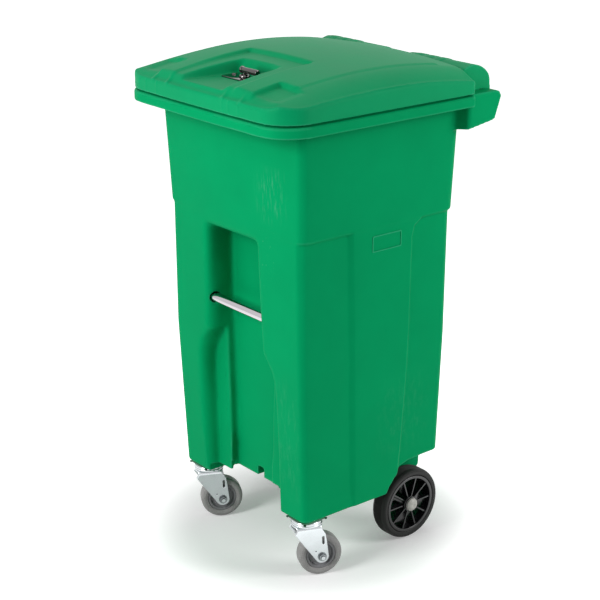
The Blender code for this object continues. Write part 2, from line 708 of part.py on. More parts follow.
def make_latch():
    plate_low = POCKET_FLOOR + GAP
    plate_top = plate_low + 0.002
    corners = []
    for cx, cy, start in ((0.037, -0.182, -90), (0.037, -0.142, 0), (-0.037, -0.142, 90),
                          (-0.037, -0.182, 180)):
        corners += arc(cx, cy, 0.005, start, start + 90, 3)
    plate = outline("latch_plate", corners, "XY", plate_low, plate_top, "zinc_steel")
    holes = [rod("plate_spindle_hole", SPINDLE_RADIUS + GAP, (0, LATCH_Y, 0.97),
                 (0, LATCH_Y, 0.99), sides=16)]
    for side, sign in (("right", 1), ("left", -1)):
        x = sign * PLATE_SCREW_X
        holes.append(rod("plate_screw_hole", SCREW_RADIUS + GAP, (x, LATCH_Y, 0.97),
                         (x, LATCH_Y, 0.99), sides=8))
        screw(f"latch_screw_{side}", (x, LATCH_Y, plate_top + GAP), (0, 0, 1), 0.012)
    boolean(plate, holes)
    collar_low = plate_top + GAP
    collar_top = collar_low + 0.0048
    bore = SPINDLE_RADIUS + GAP
    turned("latch_collar", [(bore, 0.0048), (0.0085, 0.0048), (0.0105, 0.0030), (0.0112, 0.0),
                            (bore, 0.0)], (0, LATCH_Y, collar_low), (0, 0, 1), "chrome", 24)
    lever = rod("latch_lever", 0.0056, (-0.0085, LATCH_Y, LEVER_Z), (0.040, LATCH_Y, LEVER_Z),
                "chrome", 20)
    lever_neck = rod("lever_neck", 0.0048, (0, LATCH_Y, collar_top + GAP), (0, LATCH_Y, LEVER_Z),
                     sides=20)
    lever_ring = rod("lever_ring", 0.0068, (-0.0085, LATCH_Y, LEVER_Z),
                     (-0.0040, LATCH_Y, LEVER_Z), sides=20)
    bevelled(lever, 0.0012)
    boolean(lever, [lever_neck, bevelled(lever_ring, 0.0010)], "UNION")
    rod("latch_spindle", SPINDLE_RADIUS, (0, LATCH_Y, CAM_Z - 0.006), (0, LATCH_Y, collar_top),
        "zinc_steel", 16)
    cam = outline("latch_cam", arc(0, LATCH_Y, 0.009, 90, 270, 6) +
                  arc(0.030, LATCH_Y, 0.006, -90, 90, 5), "XY", CAM_Z, CAM_Z + CAM_THICK,
                  "zinc_steel")
    boolean(cam, [rod("cam_hole", SPINDLE_RADIUS + GAP, (0, LATCH_Y, 0.90), (0, LATCH_Y, 0.95),
                      sides=16)])
    nut = rod("latch_nut", 0.0075, (0, LATCH_Y, CAM_Z - 0.0053), (0, LATCH_Y, CAM_Z - GAP),
              "zinc_steel", 6)
    boolean(nut, [rod("latch_nut_hole", SPINDLE_RADIUS + GAP, (0, LATCH_Y, 0.90),
                      (0, LATCH_Y, 0.95), sides=16)])
    sleeve_low = CAM_Z + CAM_THICK + GAP
    sleeve_high = POCKET_FLOOR - LID_THICK - 0.0012 - sleeve_low
    turned("latch_sleeve", [(bore, sleeve_high), (0.0065, sleeve_high), (0.0065, 0.0), (bore, 0.0)],
           (0, LATCH_Y, sleeve_low), (0, 0, 1), "zinc_steel", 16)


def make_keeper():
    """An angle bracket on the tub's front wall, with a lip that the cam turns under."""
    wall = KEEPER_WALL + GAP
    profile = [(wall, 0.896), (wall + 0.002, 0.896), (wall + 0.002, 0.9262), (-0.186, 0.9262),
               (-0.186, 0.9282), (wall, 0.9282)]
    keeper = outline("latch_keeper", profile, "YZ", -0.018, 0.018, "zinc_steel")
    holes = []
    for side, sign in (("right", 1), ("left", -1)):
        x = sign * KEEPER_SCREW_X
        holes.append(rod("keeper_hole", SCREW_RADIUS + GAP, (x, -0.22, KEEPER_SCREW_Z),
                         (x, -0.19, KEEPER_SCREW_Z), sides=8))
        screw(f"keeper_screw_{side}", (x, wall + 0.002 + GAP, KEEPER_SCREW_Z), (0, 1, 0), 0.0052)
    boolean(keeper, holes)


def make_lift_bar():
    ends = (BAR_HALF, BAR_Y, BAR_Z)
    bar = rod("lift_bar", BAR_RADIUS, (-ends[0], *ends[1:]), ends, "bar_steel", 24)
    bevelled(bar, 0.0010, 1)
    for side, sign in (("right", 1), ("left", -1)):
        bore = BAR_RADIUS + GAP
        edge = BAR_CAP_RADIUS
        profile = [(0.0, 0.0095), (edge - 0.0012, 0.0095), (edge, 0.008), (edge, 0.0), (bore, 0.0),
                   (bore, 0.0077), (0.0, 0.0077)]
        turned(f"lift_bar_cap_{side}", profile, (sign * (BAR_HALF - 0.0074), BAR_Y, BAR_Z),
               (sign, 0, 0), "hub_black", 20)


def make_rear_wheel(side, sign):
    centre = Vector((sign * (WHEEL_IN + WHEEL_OUT) / 2, AXLE_Y, WHEEL_RADIUS))
    axis = (sign, 0, 0)
    half = (WHEEL_OUT - WHEEL_IN) / 2
    rim_out = 0.0620
    tread = flat_radius(WHEEL_RADIUS, WHEEL_STEPS)
    tyre = [
        (rim_out + GAP, half - 0.002), (0.0675, half), (0.0725, half - 0.001),
        (0.0752, half - 0.0045), (tread, half - 0.009), (tread, 0.009 - half),
        (0.0752, 0.0045 - half), (0.0725, 0.001 - half), (0.0675, -half),
        (rim_out + GAP, 0.002 - half),
    ]
    spin = 180 / WHEEL_STEPS
    turned(f"rear_tyre_{side}", tyre, centre, axis, "tyre_black", WHEEL_STEPS, spin)
    ring = [(rim_out, half - 0.001), (rim_out, 0.001 - half), (0.0580, 0.001 - half),
            (0.0580, half - 0.001)]
    hub = turned(f"rear_hub_{side}", ring, centre, axis, "hub_black", WHEEL_STEPS, spin)
    bore = AXLE_RADIUS + 0.0004
    low = centre - Vector((sign * (half - 0.0005), 0, 0))
    high = centre + Vector((sign * (half - 0.0015), 0, 0))
    boss = rod(f"hub_boss_{side}", 0.0170, low, high, sides=24)
    spokes = []
    for number in range(5):
        spoke = box(f"hub_spoke_{side}_{number}", (-half * 0.72, -0.0590, -0.0018),
                    (half * 0.80, 0.0590, 0.0018))
        turn = Matrix.Rotation(math.radians(36 * number + 18), 4, "X")
        spoke.matrix_world = Matrix.Translation(centre) @ Matrix.Diagonal((sign, 1, 1, 1)) @ turn
        spokes.append(spoke)
    boolean(hub, spokes + [boss], "UNION")
    boolean(hub, [rod(f"hub_bore_{side}", bore, low - Vector((sign * 0.01, 0, 0)),
                      high + Vector((sign * 0.01, 0, 0)), sides=20)])
    hub_face = abs(high.x)
    washer = [(bore, 0.0015), (0.0125, 0.0015), (0.0125, 0.0), (bore, 0.0)]
    turned(f"axle_washer_{side}", washer, (sign * (hub_face + GAP), AXLE_Y, WHEEL_RADIUS), axis,
           "zinc_steel", 20)
    cap_x = hub_face + 0.0015 + 2 * GAP
    socket = AXLE_RADIUS + GAP
    cap = [(0.0, 0.0088), (0.006, 0.0084), (0.011, 0.0066), (0.0138, 0.0035), (0.014, 0.0),
           (socket, 0.0), (socket, 0.0060), (0.0, 0.0060)]
    turned(f"axle_cap_{side}", cap, (sign * cap_x, AXLE_Y, WHEEL_RADIUS), axis, "cap_grey", 24)
    spacer_low = 0.139 + GAP
    spacer_high = abs(low.x) - GAP - spacer_low
    spacer = [(bore, spacer_high), (0.0105, spacer_high), (0.0105, 0.0), (bore, 0.0)]
    turned(f"axle_spacer_{side}", spacer, (sign * spacer_low, AXLE_Y, WHEEL_RADIUS), axis,
           "hub_black", 20)
    return cap_x + 0.0057


def plate_bolt_places(sign):
    reach = PLATE_BOLT_REACH
    centre = sign * CASTER_X
    return [(centre + a * reach, CASTER_Y + b * reach) for a in (-1, 1) for b in (-1, 1)]


def place_on(parent, obj):
    """Moves a piece made about the caster's own axis onto its swivel."""
    local = obj.matrix_world.copy()
    obj.parent = parent
    obj.matrix_world = parent.matrix_world @ local
    return obj


def fork_side_outline():
    """The fork from the side: the crown above and a round tip at the axle."""
    tip = arc(CASTER_TRAIL, CASTER_RADIUS, 0.0142, 215, 355, 8)
    crown = [(0.0361, 0.0758), (0.0325, 0.0980), (0.0310, CROWN_TOP), (-0.0300, CROWN_TOP),
             (-0.0335, 0.1040)]
    return tip + crown


def fork_front_outline():
    """The fork from the front: two legs hang from rounded shoulders."""
    outer = [(FORK_OUT, 0.02)] + arc(FORK_OUT - 0.008, CROWN_TOP - 0.008, 0.008, 0, 90, 4)
    return [(-a, b) for a, b in outer] + list(reversed(outer))


def fork_gap_outline():
    inner = [(FORK_IN, 0.01)] + arc(FORK_IN - 0.005, CROWN_LOW - 0.005, 0.005, 0, 90, 3)
    return [(-a, b) for a, b in inner] + list(reversed(inner))


def make_caster(side, sign):
    turn = math.radians(CASTER_TURN[side])
    x = sign * CASTER_X
    swivel = bpy.data.objects.new(f"caster_swivel_{side}", None)
    PARTS.objects.link(swivel)
    swivel.matrix_world = Matrix.Translation((x, CASTER_Y, 0)) @ Matrix.Rotation(turn, 4, "Z")

    corners = []
    inner = PLATE_HALF - 0.006
    for cx, cy, start in ((inner, -inner, -90), (inner, inner, 0), (-inner, inner, 90),
                          (-inner, -inner, 180)):
        corners += arc(x + cx, CASTER_Y + cy, 0.006, start, start + 90, 3)
    plate = outline(f"caster_plate_{side}", corners, "XY", PLATE_LOW, PLATE_TOP, "zinc_steel")
    holes = [rod("kingpin_hole", KINGPIN_RADIUS + GAP, (x, CASTER_Y, 0.10), (x, CASTER_Y, 0.14),
                 sides=16)]
    bolt = [(0.0, 0.0030), (0.0040, 0.0026), (0.0055, 0.0), (PLATE_BOLT_RADIUS, 0.0),
            (PLATE_BOLT_RADIUS, -0.0185), (0.0, -0.0185)]
    for number, (bolt_x, bolt_y) in enumerate(plate_bolt_places(sign), start=1):
        holes.append(rod("plate_hole", PLATE_BOLT_RADIUS + GAP, (bolt_x, bolt_y, 0.10),
                         (bolt_x, bolt_y, 0.14), sides=10))
        turned(f"plate_bolt_{side}_{number}", bolt, (bolt_x, bolt_y, PLATE_LOW - GAP), (0, 0, -1),
               "zinc_steel", 10)
    boolean(plate, holes)

    height = RACE_TOP - RACE_LOW
    bore = KINGPIN_RADIUS + GAP
    race = [(bore, height), (0.0285, height), (0.0303, height - 0.0022), (0.0288, height * 0.55),
            (0.0315, height * 0.36), (0.0315, 0.0012), (0.0295, 0.0), (bore, 0.0)]
    place_on(swivel, turned(f"caster_raceway_{side}", race, (0, 0, RACE_LOW), (0, 0, 1),
                            "zinc_steel", CASTER_STEPS))
    pin_head = [(0.0, PLATE_TOP - CROWN_LOW), (KINGPIN_RADIUS, PLATE_TOP - CROWN_LOW),
                (KINGPIN_RADIUS, -GAP), (0.0100, -GAP), (0.0100, -0.0030), (0.0075, -0.0052),
                (0.0, -0.0055)]
    turned(f"caster_kingpin_{side}", pin_head, (x, CASTER_Y, CROWN_LOW), (0, 0, 1), "zinc_steel", 16)

    fork = outline(f"caster_fork_{side}", fork_side_outline(), "YZ", -0.03, 0.03, "zinc_steel")
    shape = outline(f"fork_shape_{side}", fork_front_outline(), "XZ", -0.06, 0.06)
    gap = outline(f"fork_gap_{side}", fork_gap_outline(), "XZ", -0.07, 0.07)
    pin_hole = rod(f"fork_pin_hole_{side}", bore, (0, 0, 0.09), (0, 0, 0.13), sides=16)
    bolt_bore = AXLE_BOLT_RADIUS + GAP
    bolt_hole = rod(f"fork_bolt_hole_{side}", bolt_bore, (-0.03, CASTER_TRAIL, CASTER_RADIUS),
                    (0.03, CASTER_TRAIL, CASTER_RADIUS), sides=14)
    place_on(swivel, fork)
    for tool in (shape, gap, pin_hole, bolt_hole):
        place_on(swivel, tool)
    boolean(fork, [shape], "INTERSECT")
    boolean(fork, [gap, pin_hole, bolt_hole])

    middle = (0, CASTER_TRAIL, CASTER_RADIUS)
    core = [(0.0064, 0.0172), (0.0105, 0.0172), (0.0115, 0.0080), (0.0245, 0.0068),
            (0.0262, 0.0118), (0.0300, 0.0118), (0.0300, -0.0118), (0.0262, -0.0118),
            (0.0245, -0.0068), (0.0115, -0.0080), (0.0105, -0.0172), (0.0064, -0.0172)]
    place_on(swivel, turned(f"caster_wheel_{side}", core, middle, (1, 0, 0), "caster_grey",
                            CASTER_STEPS))
    edge = flat_radius(CASTER_RADIUS, CASTER_STEPS)
    tread = [(0.0303, 0.0125), (0.0375, 0.0150), (0.0428, 0.0135), (edge, 0.0085),
             (edge, -0.0085), (0.0428, -0.0135), (0.0375, -0.0150), (0.0303, -0.0125)]
    place_on(swivel, turned(f"caster_tread_{side}", tread, middle, (1, 0, 0), "tread_grey",
                            CASTER_STEPS, 180 / CASTER_STEPS))
    bush = [(bolt_bore, 0.0182), (0.0060, 0.0182), (0.0060, -0.0182), (bolt_bore, -0.0182)]
    place_on(swivel, turned(f"caster_bush_{side}", bush, middle, (1, 0, 0), "zinc_steel", 16))
    place_on(swivel, make_axle_bolt(side))
    nut = rod(f"caster_nut_{side}", 0.0078, (FORK_OUT + GAP, *middle[1:]),
              (FORK_OUT + 0.0055, *middle[1:]), "zinc_steel", 6)
    nut_hole = rod(f"caster_nut_hole_{side}", bolt_bore, (0.015, *middle[1:]),
                   (0.04, *middle[1:]), sides=14)
    place_on(swivel, nut)
    place_on(swivel, nut_hole)
    boolean(nut, [nut_hole])


def make_axle_bolt(side):
    """The bolt that the caster's wheel turns on: a six-sided head and a plain shank."""
    axis_y = CASTER_TRAIL
    head = rod(f"caster_axle_bolt_{side}", 0.0078, (-FORK_OUT - 0.0045, axis_y, CASTER_RADIUS),
               (-FORK_OUT - GAP, axis_y, CASTER_RADIUS), "zinc_steel", 6)
    shank = rod(f"axle_bolt_shank_{side}", AXLE_BOLT_RADIUS,
                (-FORK_OUT - 0.002, axis_y, CASTER_RADIUS),
                (FORK_OUT + 0.0080, axis_y, CASTER_RADIUS), sides=14)
    swivel = bpy.data.objects[f"caster_swivel_{side}"]
    place_on(swivel, shank)
    return boolean(head, [shank], "UNION")


def hang_on(name, place, parent, *pieces):
    """An empty on a joint's axis that carries the pieces which move on that joint."""
    axis = bpy.data.objects.new(name, None)
    PARTS.objects.link(axis)
    if parent:
        axis.parent = parent
    axis.matrix_world = Matrix.Translation(place)
    bpy.context.view_layer.update()
    for piece in pieces:
        obj = bpy.data.objects[piece]
        obj.parent = axis
        obj.matrix_parent_inverse = axis.matrix_world.inverted()
    return axis


make_tub()
make_lid()
make_latch()
make_keeper()
make_lift_bar()
lid_axis = hang_on("lid_axis", (0, HINGE_Y, HINGE_Z), None, "lid", "latch_plate", "latch_collar",
                   "latch_sleeve", "latch_screw_right", "latch_screw_left")
hang_on("latch_axis", (0, LATCH_Y, POCKET_FLOOR), lid_axis, "latch_lever", "latch_spindle",
        "latch_cam", "latch_nut")
hang_on("lift_bar_axis", (0, BAR_Y, BAR_Z), None, "lift_bar", "lift_bar_cap_right",
        "lift_bar_cap_left")
for name, direction in (("right", 1), ("left", -1)):
    axle_end = make_rear_wheel(name, direction)
    make_caster(name, direction)
rod("rear_axle", AXLE_RADIUS, (-axle_end, AXLE_Y, WHEEL_RADIUS), (axle_end, AXLE_Y, WHEEL_RADIUS),
    "axle_steel", 24)
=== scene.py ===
# %% [markdown]
# # Dressing a wheeled trash can
#
# The construction of this can is already settled: a frame of plain solids says how big every
# piece is, what carries it and how it moves. This notebook puts the looks around that frame.
# It makes the moulded plastic, the plated steel and the rubber, and hangs each new piece on
# the body of the frame that it moves with.

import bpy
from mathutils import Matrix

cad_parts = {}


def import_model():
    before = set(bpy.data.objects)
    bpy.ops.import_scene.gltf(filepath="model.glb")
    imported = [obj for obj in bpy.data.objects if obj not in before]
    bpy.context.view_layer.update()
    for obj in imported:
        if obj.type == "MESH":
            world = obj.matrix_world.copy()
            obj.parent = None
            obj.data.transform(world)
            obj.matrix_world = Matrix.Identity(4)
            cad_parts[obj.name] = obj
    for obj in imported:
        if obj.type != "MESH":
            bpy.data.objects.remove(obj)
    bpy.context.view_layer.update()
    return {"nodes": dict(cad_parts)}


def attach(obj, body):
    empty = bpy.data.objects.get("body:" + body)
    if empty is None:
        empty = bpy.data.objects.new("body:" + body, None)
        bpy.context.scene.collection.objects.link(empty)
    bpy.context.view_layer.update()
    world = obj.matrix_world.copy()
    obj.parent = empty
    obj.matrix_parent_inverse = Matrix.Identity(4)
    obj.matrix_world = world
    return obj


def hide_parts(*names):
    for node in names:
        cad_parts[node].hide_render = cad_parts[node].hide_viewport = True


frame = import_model()
print("solids in the frame:", len(frame["nodes"]))

# %% [markdown]
# Blender's own modules do the rest. bmesh builds meshes point by point, mathutils turns and
# moves them, and bpy holds the scene. The view transform is Standard, so a colour renders
# about as it is written.

# %% Modules and scene
import math

import bmesh
import bpy
from mathutils import Matrix, Vector

scene = bpy.context.scene
scene.view_settings.view_transform = "Standard"
for leftover in [obj for obj in bpy.data.objects if obj.type in ("CAMERA", "LIGHT")]:
    bpy.data.objects.remove(leftover)
for plain_colour in list(bpy.data.materials):
    bpy.data.materials.remove(plain_colour)

# %% [markdown]
# The picture was taken from the front right corner of the can, a little above its lid and
# with a long lens. An azimuth, an elevation and a distance from one aim point say that in
# three numbers, which is easier to correct than a camera dragged about by hand.

# %% Camera
AIM = Vector((0.0041, -0.0320, 0.5116))
VIEW_AZIMUTH = math.radians(50.64)
VIEW_ELEVATION = math.radians(19.48)
VIEW_DISTANCE = 3.0946
LENS_MM = 92.19
SENSOR_MM = 36.0

towards_camera = Vector((
    math.sin(VIEW_AZIMUTH) * math.cos(VIEW_ELEVATION),
    -math.cos(VIEW_AZIMUTH) * math.cos(VIEW_ELEVATION),
    math.sin(VIEW_ELEVATION),
))
camera_data = bpy.data.cameras.new("studio_camera")
camera_data.lens = LENS_MM
camera_data.sensor_width = SENSOR_MM
camera = bpy.data.objects.new("studio_camera", camera_data)
camera.location = AIM + towards_camera * VIEW_DISTANCE
camera.rotation_euler = (-towards_camera).to_track_quat("-Z", "Y").to_euler()
scene.collection.objects.link(camera)
scene.camera = camera
print("camera at", tuple(round(value, 3) for value in camera.location))

# %% [markdown]
# A material in Blender is a small graph of nodes. One helper adds a node, sets its options
# and fills its sockets with either a number or the output of another node, so that a finish
# reads from top to bottom like a recipe. Four more wrap the nodes that every recipe uses: a
# sum, a change of range, a noise and one colour laid over another.


# %% Node helpers
def add_node(tree, kind, inputs=None, **options):
    """A new shader node; an input is a plain value or another node's output."""
    made = tree.nodes.new(kind)
    for option, value in options.items():
        setattr(made, option, value)
    for socket, value in (inputs or {}).items():
        if isinstance(value, bpy.types.NodeSocket):
            tree.links.new(value, made.inputs[socket])
        else:
            made.inputs[socket].default_value = value
    return made


def calculate(tree, operation, *values):
    """One sum on two or three values, such as MULTIPLY."""
    return add_node(tree, "ShaderNodeMath", dict(enumerate(values)), operation=operation).outputs[0]


def remap(tree, value, low, high, to_low=0.0, to_high=1.0, **options):
    """A value moved from one range to another and held inside it."""
    ranges = {"From Min": low, "From Max": high, "To Min": to_low, "To Max": to_high}
    return add_node(tree, "ShaderNodeMapRange", {"Value": value, **ranges}, **options).outputs[0]


def noise(tree, place, scale, detail, roughness=0.5):
    settings = {"Vector": place, "Scale": scale, "Detail": detail, "Roughness": roughness}
    return add_node(tree, "ShaderNodeTexNoise", settings).outputs["Fac"]


def covered(tree, factor, below, above):
    """The lower colour, covered by the upper one as far as the factor says."""
    colours = {"Fac": factor, "Color1": below, "Color2": (*above, 1.0)}
    return add_node(tree, "ShaderNodeMixRGB", colours).outputs["Color"]


# %% [markdown]
# Every finish ends the same way: a colour, a roughness and a bump go into the Principled
# shader, which covers plastic, rubber and metal alike. No real surface is one flat colour, so
# each colour drifts between a darker and a lighter tone of itself.


# %% Material helpers
def new_material(name):
    material = bpy.data.materials.new(name)
    material.use_nodes = True
    return material, material.node_tree, material.node_tree.nodes["Principled BSDF"]


def own_place(tree):
    """The place of a point on its own piece, which moves with the piece."""
    return add_node(tree, "ShaderNodeTexCoord").outputs["Object"]


def two_tone(tree, factor, colour, darkest, lightest, ends=(0.3, 0.7)):
    """The colour, from its darkest to its lightest share as the factor crosses the ends."""
    ramp = add_node(tree, "ShaderNodeValToRGB", {"Fac": factor})
    for element, end, share in zip(ramp.color_ramp.elements, ends, (darkest, lightest)):
        element.position = end
        element.color = (*(value * share for value in colour), 1.0)
    return ramp.outputs["Color"]


def finish_surface(tree, shader, tint, rough, height, strength, distance):
    """Puts a colour, a roughness and a bump from a height into the shader."""
    bump = add_node(
        tree, "ShaderNodeBump", {"Strength": strength, "Distance": distance, "Height": height},
    )
    tree.links.new(tint, shader.inputs["Base Color"])
    tree.links.new(rough, shader.inputs["Roughness"])
    tree.links.new(bump.outputs["Normal"], shader.inputs["Normal"])


# %% [markdown]
# The can stands on a white sweep of paper, so the background is white and only the shadow
# shows. The floor is pale and takes light like any surface. Seen straight by the camera, or
# in a reflection, it also glows: only a little near the can, which paints a shadow round its
# foot on top of the real one, and more and more further out, where the paper fades into the
# white of the studio.

# %% Floor and world
FLOOR_RADIUS = 16.0
FLOOR_COLOUR = (0.86, 0.86, 0.86)
FLOOR_DROP = 0.0005
# Painted shadow: the glow stays low near the can, so the floor round its foot is darker.
NEAR_GLOW = 0.24
FAR_GLOW = 1.0
GLOW_STARTS = 0.23
GLOW_ENDS = 0.46
WORLD_STRENGTH = 0.16


def seen_directly(tree):
    """1 for rays from the camera, a reflection or a transmission, otherwise 0."""
    ray = add_node(tree, "ShaderNodeLightPath").outputs
    either = calculate(tree, "MAXIMUM", ray["Is Camera Ray"], ray["Is Glossy Ray"])
    return calculate(tree, "MAXIMUM", either, ray["Is Transmission Ray"])


def make_floor():
    material, tree, shader = new_material("studio_paper")
    shader.inputs["Base Color"].default_value = (*FLOOR_COLOUR, 1.0)
    shader.inputs["Roughness"].default_value = 0.9
    shader.inputs["Specular IOR Level"].default_value = 0.0
    shader.inputs["Emission Color"].default_value = (1.0, 1.0, 1.0, 1.0)
    reach = add_node(tree, "ShaderNodeVectorMath", {0: own_place(tree)}, operation="LENGTH")
    strength = remap(
        tree, reach.outputs["Value"], GLOW_STARTS, GLOW_ENDS, NEAR_GLOW, FAR_GLOW,
        interpolation_type="SMOOTHSTEP",
    )
    glow = calculate(tree, "MULTIPLY", seen_directly(tree), strength)
    tree.links.new(glow, shader.inputs["Emission Strength"])
    bm = bmesh.new()
    bmesh.ops.create_circle(bm, cap_ends=True, segments=64, radius=FLOOR_RADIUS)
    mesh = bpy.data.meshes.new("studio_floor")
    bm.to_mesh(mesh)
    bm.free()
    mesh.materials.append(material)
    floor = bpy.data.objects.new("studio_floor", mesh)
    floor.location.z = -FLOOR_DROP
    scene.collection.objects.link(floor)


make_floor()
world = bpy.data.worlds.new("studio_world")
world.use_nodes = True
scene.world = world
sky = world.node_tree.nodes["Background"]
sky.inputs["Color"].default_value = (1.0, 1.0, 1.0, 1.0)
direct = seen_directly(world.node_tree)
lift = calculate(world.node_tree, "MULTIPLY_ADD", direct, 1.0 - WORLD_STRENGTH, WORLD_STRENGTH)
world.node_tree.links.new(lift, sky.inputs["Strength"])
print("paper floor of radius", FLOOR_RADIUS, "m, world light", WORLD_STRENGTH)

# %% [markdown]
# Three soft boxes light the can. The main one stands straight in front, above the lid, so the
# front is the bright side and the side walls of the recess stay dark. A second stands behind
# on the right: the side gets lighter towards the rear, and a slope on it that faces forward
# is a dark line. A broad one hangs above for the sheen on the lid. A lamp's size sets how
# soft its shadow is, its distance how fast its light falls off, its power how bright it is.

# %% Lamps
LAMPS = (  # name, place, size in metres, watts
    ("key_lamp", (0.0, -2.2, 1.5), (0.7, 1.1), 38.0),
    ("side_lamp", (1.9, 1.3, 1.35), (0.9, 1.3), 29.0),
    ("top_lamp", (-0.5, 0.9, 2.6), (1.6, 1.6), 9.0),
)


def soft_box(name, place, size, watts):
    data = bpy.data.lights.new(name, "AREA")
    data.shape = "RECTANGLE"
    data.size, data.size_y = size
    data.energy = watts
    lamp = bpy.data.objects.new(name, data)
    lamp.location = place
    lamp.rotation_euler = (AIM - Vector(place)).to_track_quat("-Z", "Y").to_euler()
    lamp.visible_camera = False
    scene.collection.objects.link(lamp)
    print(name, "of", watts, "W at", place)


for row in LAMPS:
    soft_box(*row)

# %% [markdown]
# Hands and walls rub pale scuffs on the can, in a few places only. A scuff is a noise kept
# inside a box of the piece's own coordinates, fading at the borders of the box. A noise that
# is stretched upwards makes streaks, and a more even one makes specks.

# %% Scuffed patches
SCUFF_GREEN = (0.10, 0.47, 0.28)
SCUFF_SCALE = 2.2
RUBBED_PATCHES = (  # each axis: low, high, fade; marks: noise where they start and are full, most
    {"box": {"X": (0.080, 0.178, 0.030), "Y": (-0.24, -0.17, 0.02), "Z": (0.725, 0.845, 0.040)},
     "stretch": (75.0, 75.0, 9.0), "marks": (0.50, 0.68, 0.50)},
    {"box": {"X": (0.085, 0.150, 0.020), "Y": (-0.24, -0.17, 0.02), "Z": (0.590, 0.740, 0.030)},
     "stretch": (110.0, 110.0, 80.0), "marks": (0.64, 0.70, 0.60)},
    {"box": {"X": (0.120, 0.195, 0.020), "Y": (-0.24, -0.16, 0.02), "Z": (0.160, 0.440, 0.060)},
     "stretch": (60.0, 60.0, 14.0), "marks": (0.50, 0.80, 0.30)},
    {"box": {"X": (0.190, 0.230, 0.005), "Y": (-0.010, 0.150, 0.040), "Z": (0.200, 0.400, 0.060)},
     "stretch": (50.0, 50.0, 22.0), "marks": (0.48, 0.80, 0.18)},
)


def inside_range(tree, value, low, high, fade):
    """1 between low and high, fading over a distance at each end."""
    rise = remap(tree, value, low, low + fade)
    fall = remap(tree, value, high, high - fade)
    return calculate(tree, "MULTIPLY", rise, fall)


def rubbed_patch(tree, place, patch):
    """How worn the skin is inside one patch."""
    stretched = add_node(tree, "ShaderNodeMapping", {"Vector": place, "Scale": patch["stretch"]})
    rub = noise(tree, stretched.outputs["Vector"], SCUFF_SCALE, 6.0, 0.7)
    start, full, most = patch["marks"]
    worn = remap(tree, rub, start, full, 0.0, most)
    split = add_node(tree, "ShaderNodeSeparateXYZ", {"Vector": place})
    for axis in "XYZ":
        within = inside_range(tree, split.outputs[axis], *patch["box"][axis])
        worn = calculate(tree, "MULTIPLY", worn, within)
    return worn


print("scuffed patches:", len(RUBBED_PATCHES))

# %% [markdown]
# The can is moulded in a hot turning mould, which leaves a faint satin grain and a skin whose
# colour drifts a little. Two noises make the grain and a wide one drifts the colour. Raised
# edges are paler, partly from wear and partly as a painted highlight, and creases get painted
# shade: Geometry's Pointiness tells the one from the other, and an Ambient Occlusion node
# finds the deep hollows, which get darker painted shade still.

# %% Moulded plastic
TUB_GREEN = (0.001, 0.350, 0.124)
LID_GREEN = (0.002, 0.340, 0.128)
SHEEN_GREEN = (0.30, 1.0, 0.60, 1.0)
# Painted shade: a dark green laid into creases and deep hollows, where shade falls.
PAINTED_SHADE_GREEN = (0.0, 0.13, 0.04)
# Pale edges are partly wear and partly a painted highlight; dark creases are painted shade.
EDGE_WEAR_AND_PAINTED_LIGHT = (  # pointiness where it starts and is full, the most of it, its colour
    (0.511, 0.555, 0.48, (0.06, 0.52, 0.29)),
    (0.493, 0.455, 0.75, PAINTED_SHADE_GREEN),
)
PAINTED_SHADE_REACH = 0.10
PAINTED_SHADE_STARTS = 0.95
PAINTED_SHADE_FULL = 0.40
PAINTED_SHADE_MOST = 0.60
DRIFT_SCALE = 7.0
GRAIN_SCALE = 620.0
PEEL_SCALE = 55.0
GRAIN_SHARE = 0.35


def wear_and_painted_light(tree, skin):
    """Edges paled by wear and a painted highlight; painted shade in creases and hollows."""
    bend = add_node(tree, "ShaderNodeNewGeometry").outputs["Pointiness"]
    for start, full, most, tone in EDGE_WEAR_AND_PAINTED_LIGHT:
        skin = covered(tree, remap(tree, bend, start, full, 0.0, most), skin, tone)
    # Painted shade: Ambient Occlusion darkens the deep hollows, such as the front recess and the groove
    # under the rim.
    occluded = add_node(
        tree, "ShaderNodeAmbientOcclusion", {"Distance": PAINTED_SHADE_REACH}, samples=8, only_local=True,
    )
    painted_shade = remap(tree, occluded.outputs["AO"], PAINTED_SHADE_STARTS, PAINTED_SHADE_FULL, 0.0, PAINTED_SHADE_MOST)
    return covered(tree, painted_shade, skin, PAINTED_SHADE_GREEN)


def moulded_plastic(name, colour, roughness, specular, patches=()):
    material, tree, shader = new_material(name)
    shader.inputs["Specular IOR Level"].default_value = specular
    shader.inputs["Specular Tint"].default_value = SHEEN_GREEN
    place = own_place(tree)
    drift = noise(tree, place, DRIFT_SCALE, 4.0)
    skin = two_tone(tree, drift, colour, 0.95, 1.05)
    for patch in patches:
        skin = covered(tree, rubbed_patch(tree, place, patch), skin, SCUFF_GREEN)
    skin = wear_and_painted_light(tree, skin)
    rough = remap(tree, drift, 0.0, 1.0, roughness - 0.03, roughness + 0.04)
    grain = noise(tree, place, GRAIN_SCALE, 2.0)
    peel = noise(tree, place, PEEL_SCALE, 3.0)
    height = calculate(tree, "MULTIPLY_ADD", grain, GRAIN_SHARE, peel)
    finish_surface(tree, shader, skin, rough, height, strength=0.16, distance=0.0012)
    return material


tub_finish = moulded_plastic("tub_green", TUB_GREEN, 0.50, 0.025, RUBBED_PATCHES)
lid_finish = moulded_plastic("lid_green", LID_GREEN, 0.48, 0.10)
print("plastics:", tub_finish.name, lid_finish.name)

# %% [markdown]
# The metal pieces are steel with a thin coat of zinc or chrome. Metal has no colour of its
# own under the coat, so the base colour is the tint of its reflection. A little noise in the
# roughness breaks the reflection up the way handling does, and a stretched noise leaves the
# drawn lines along the lift bar.


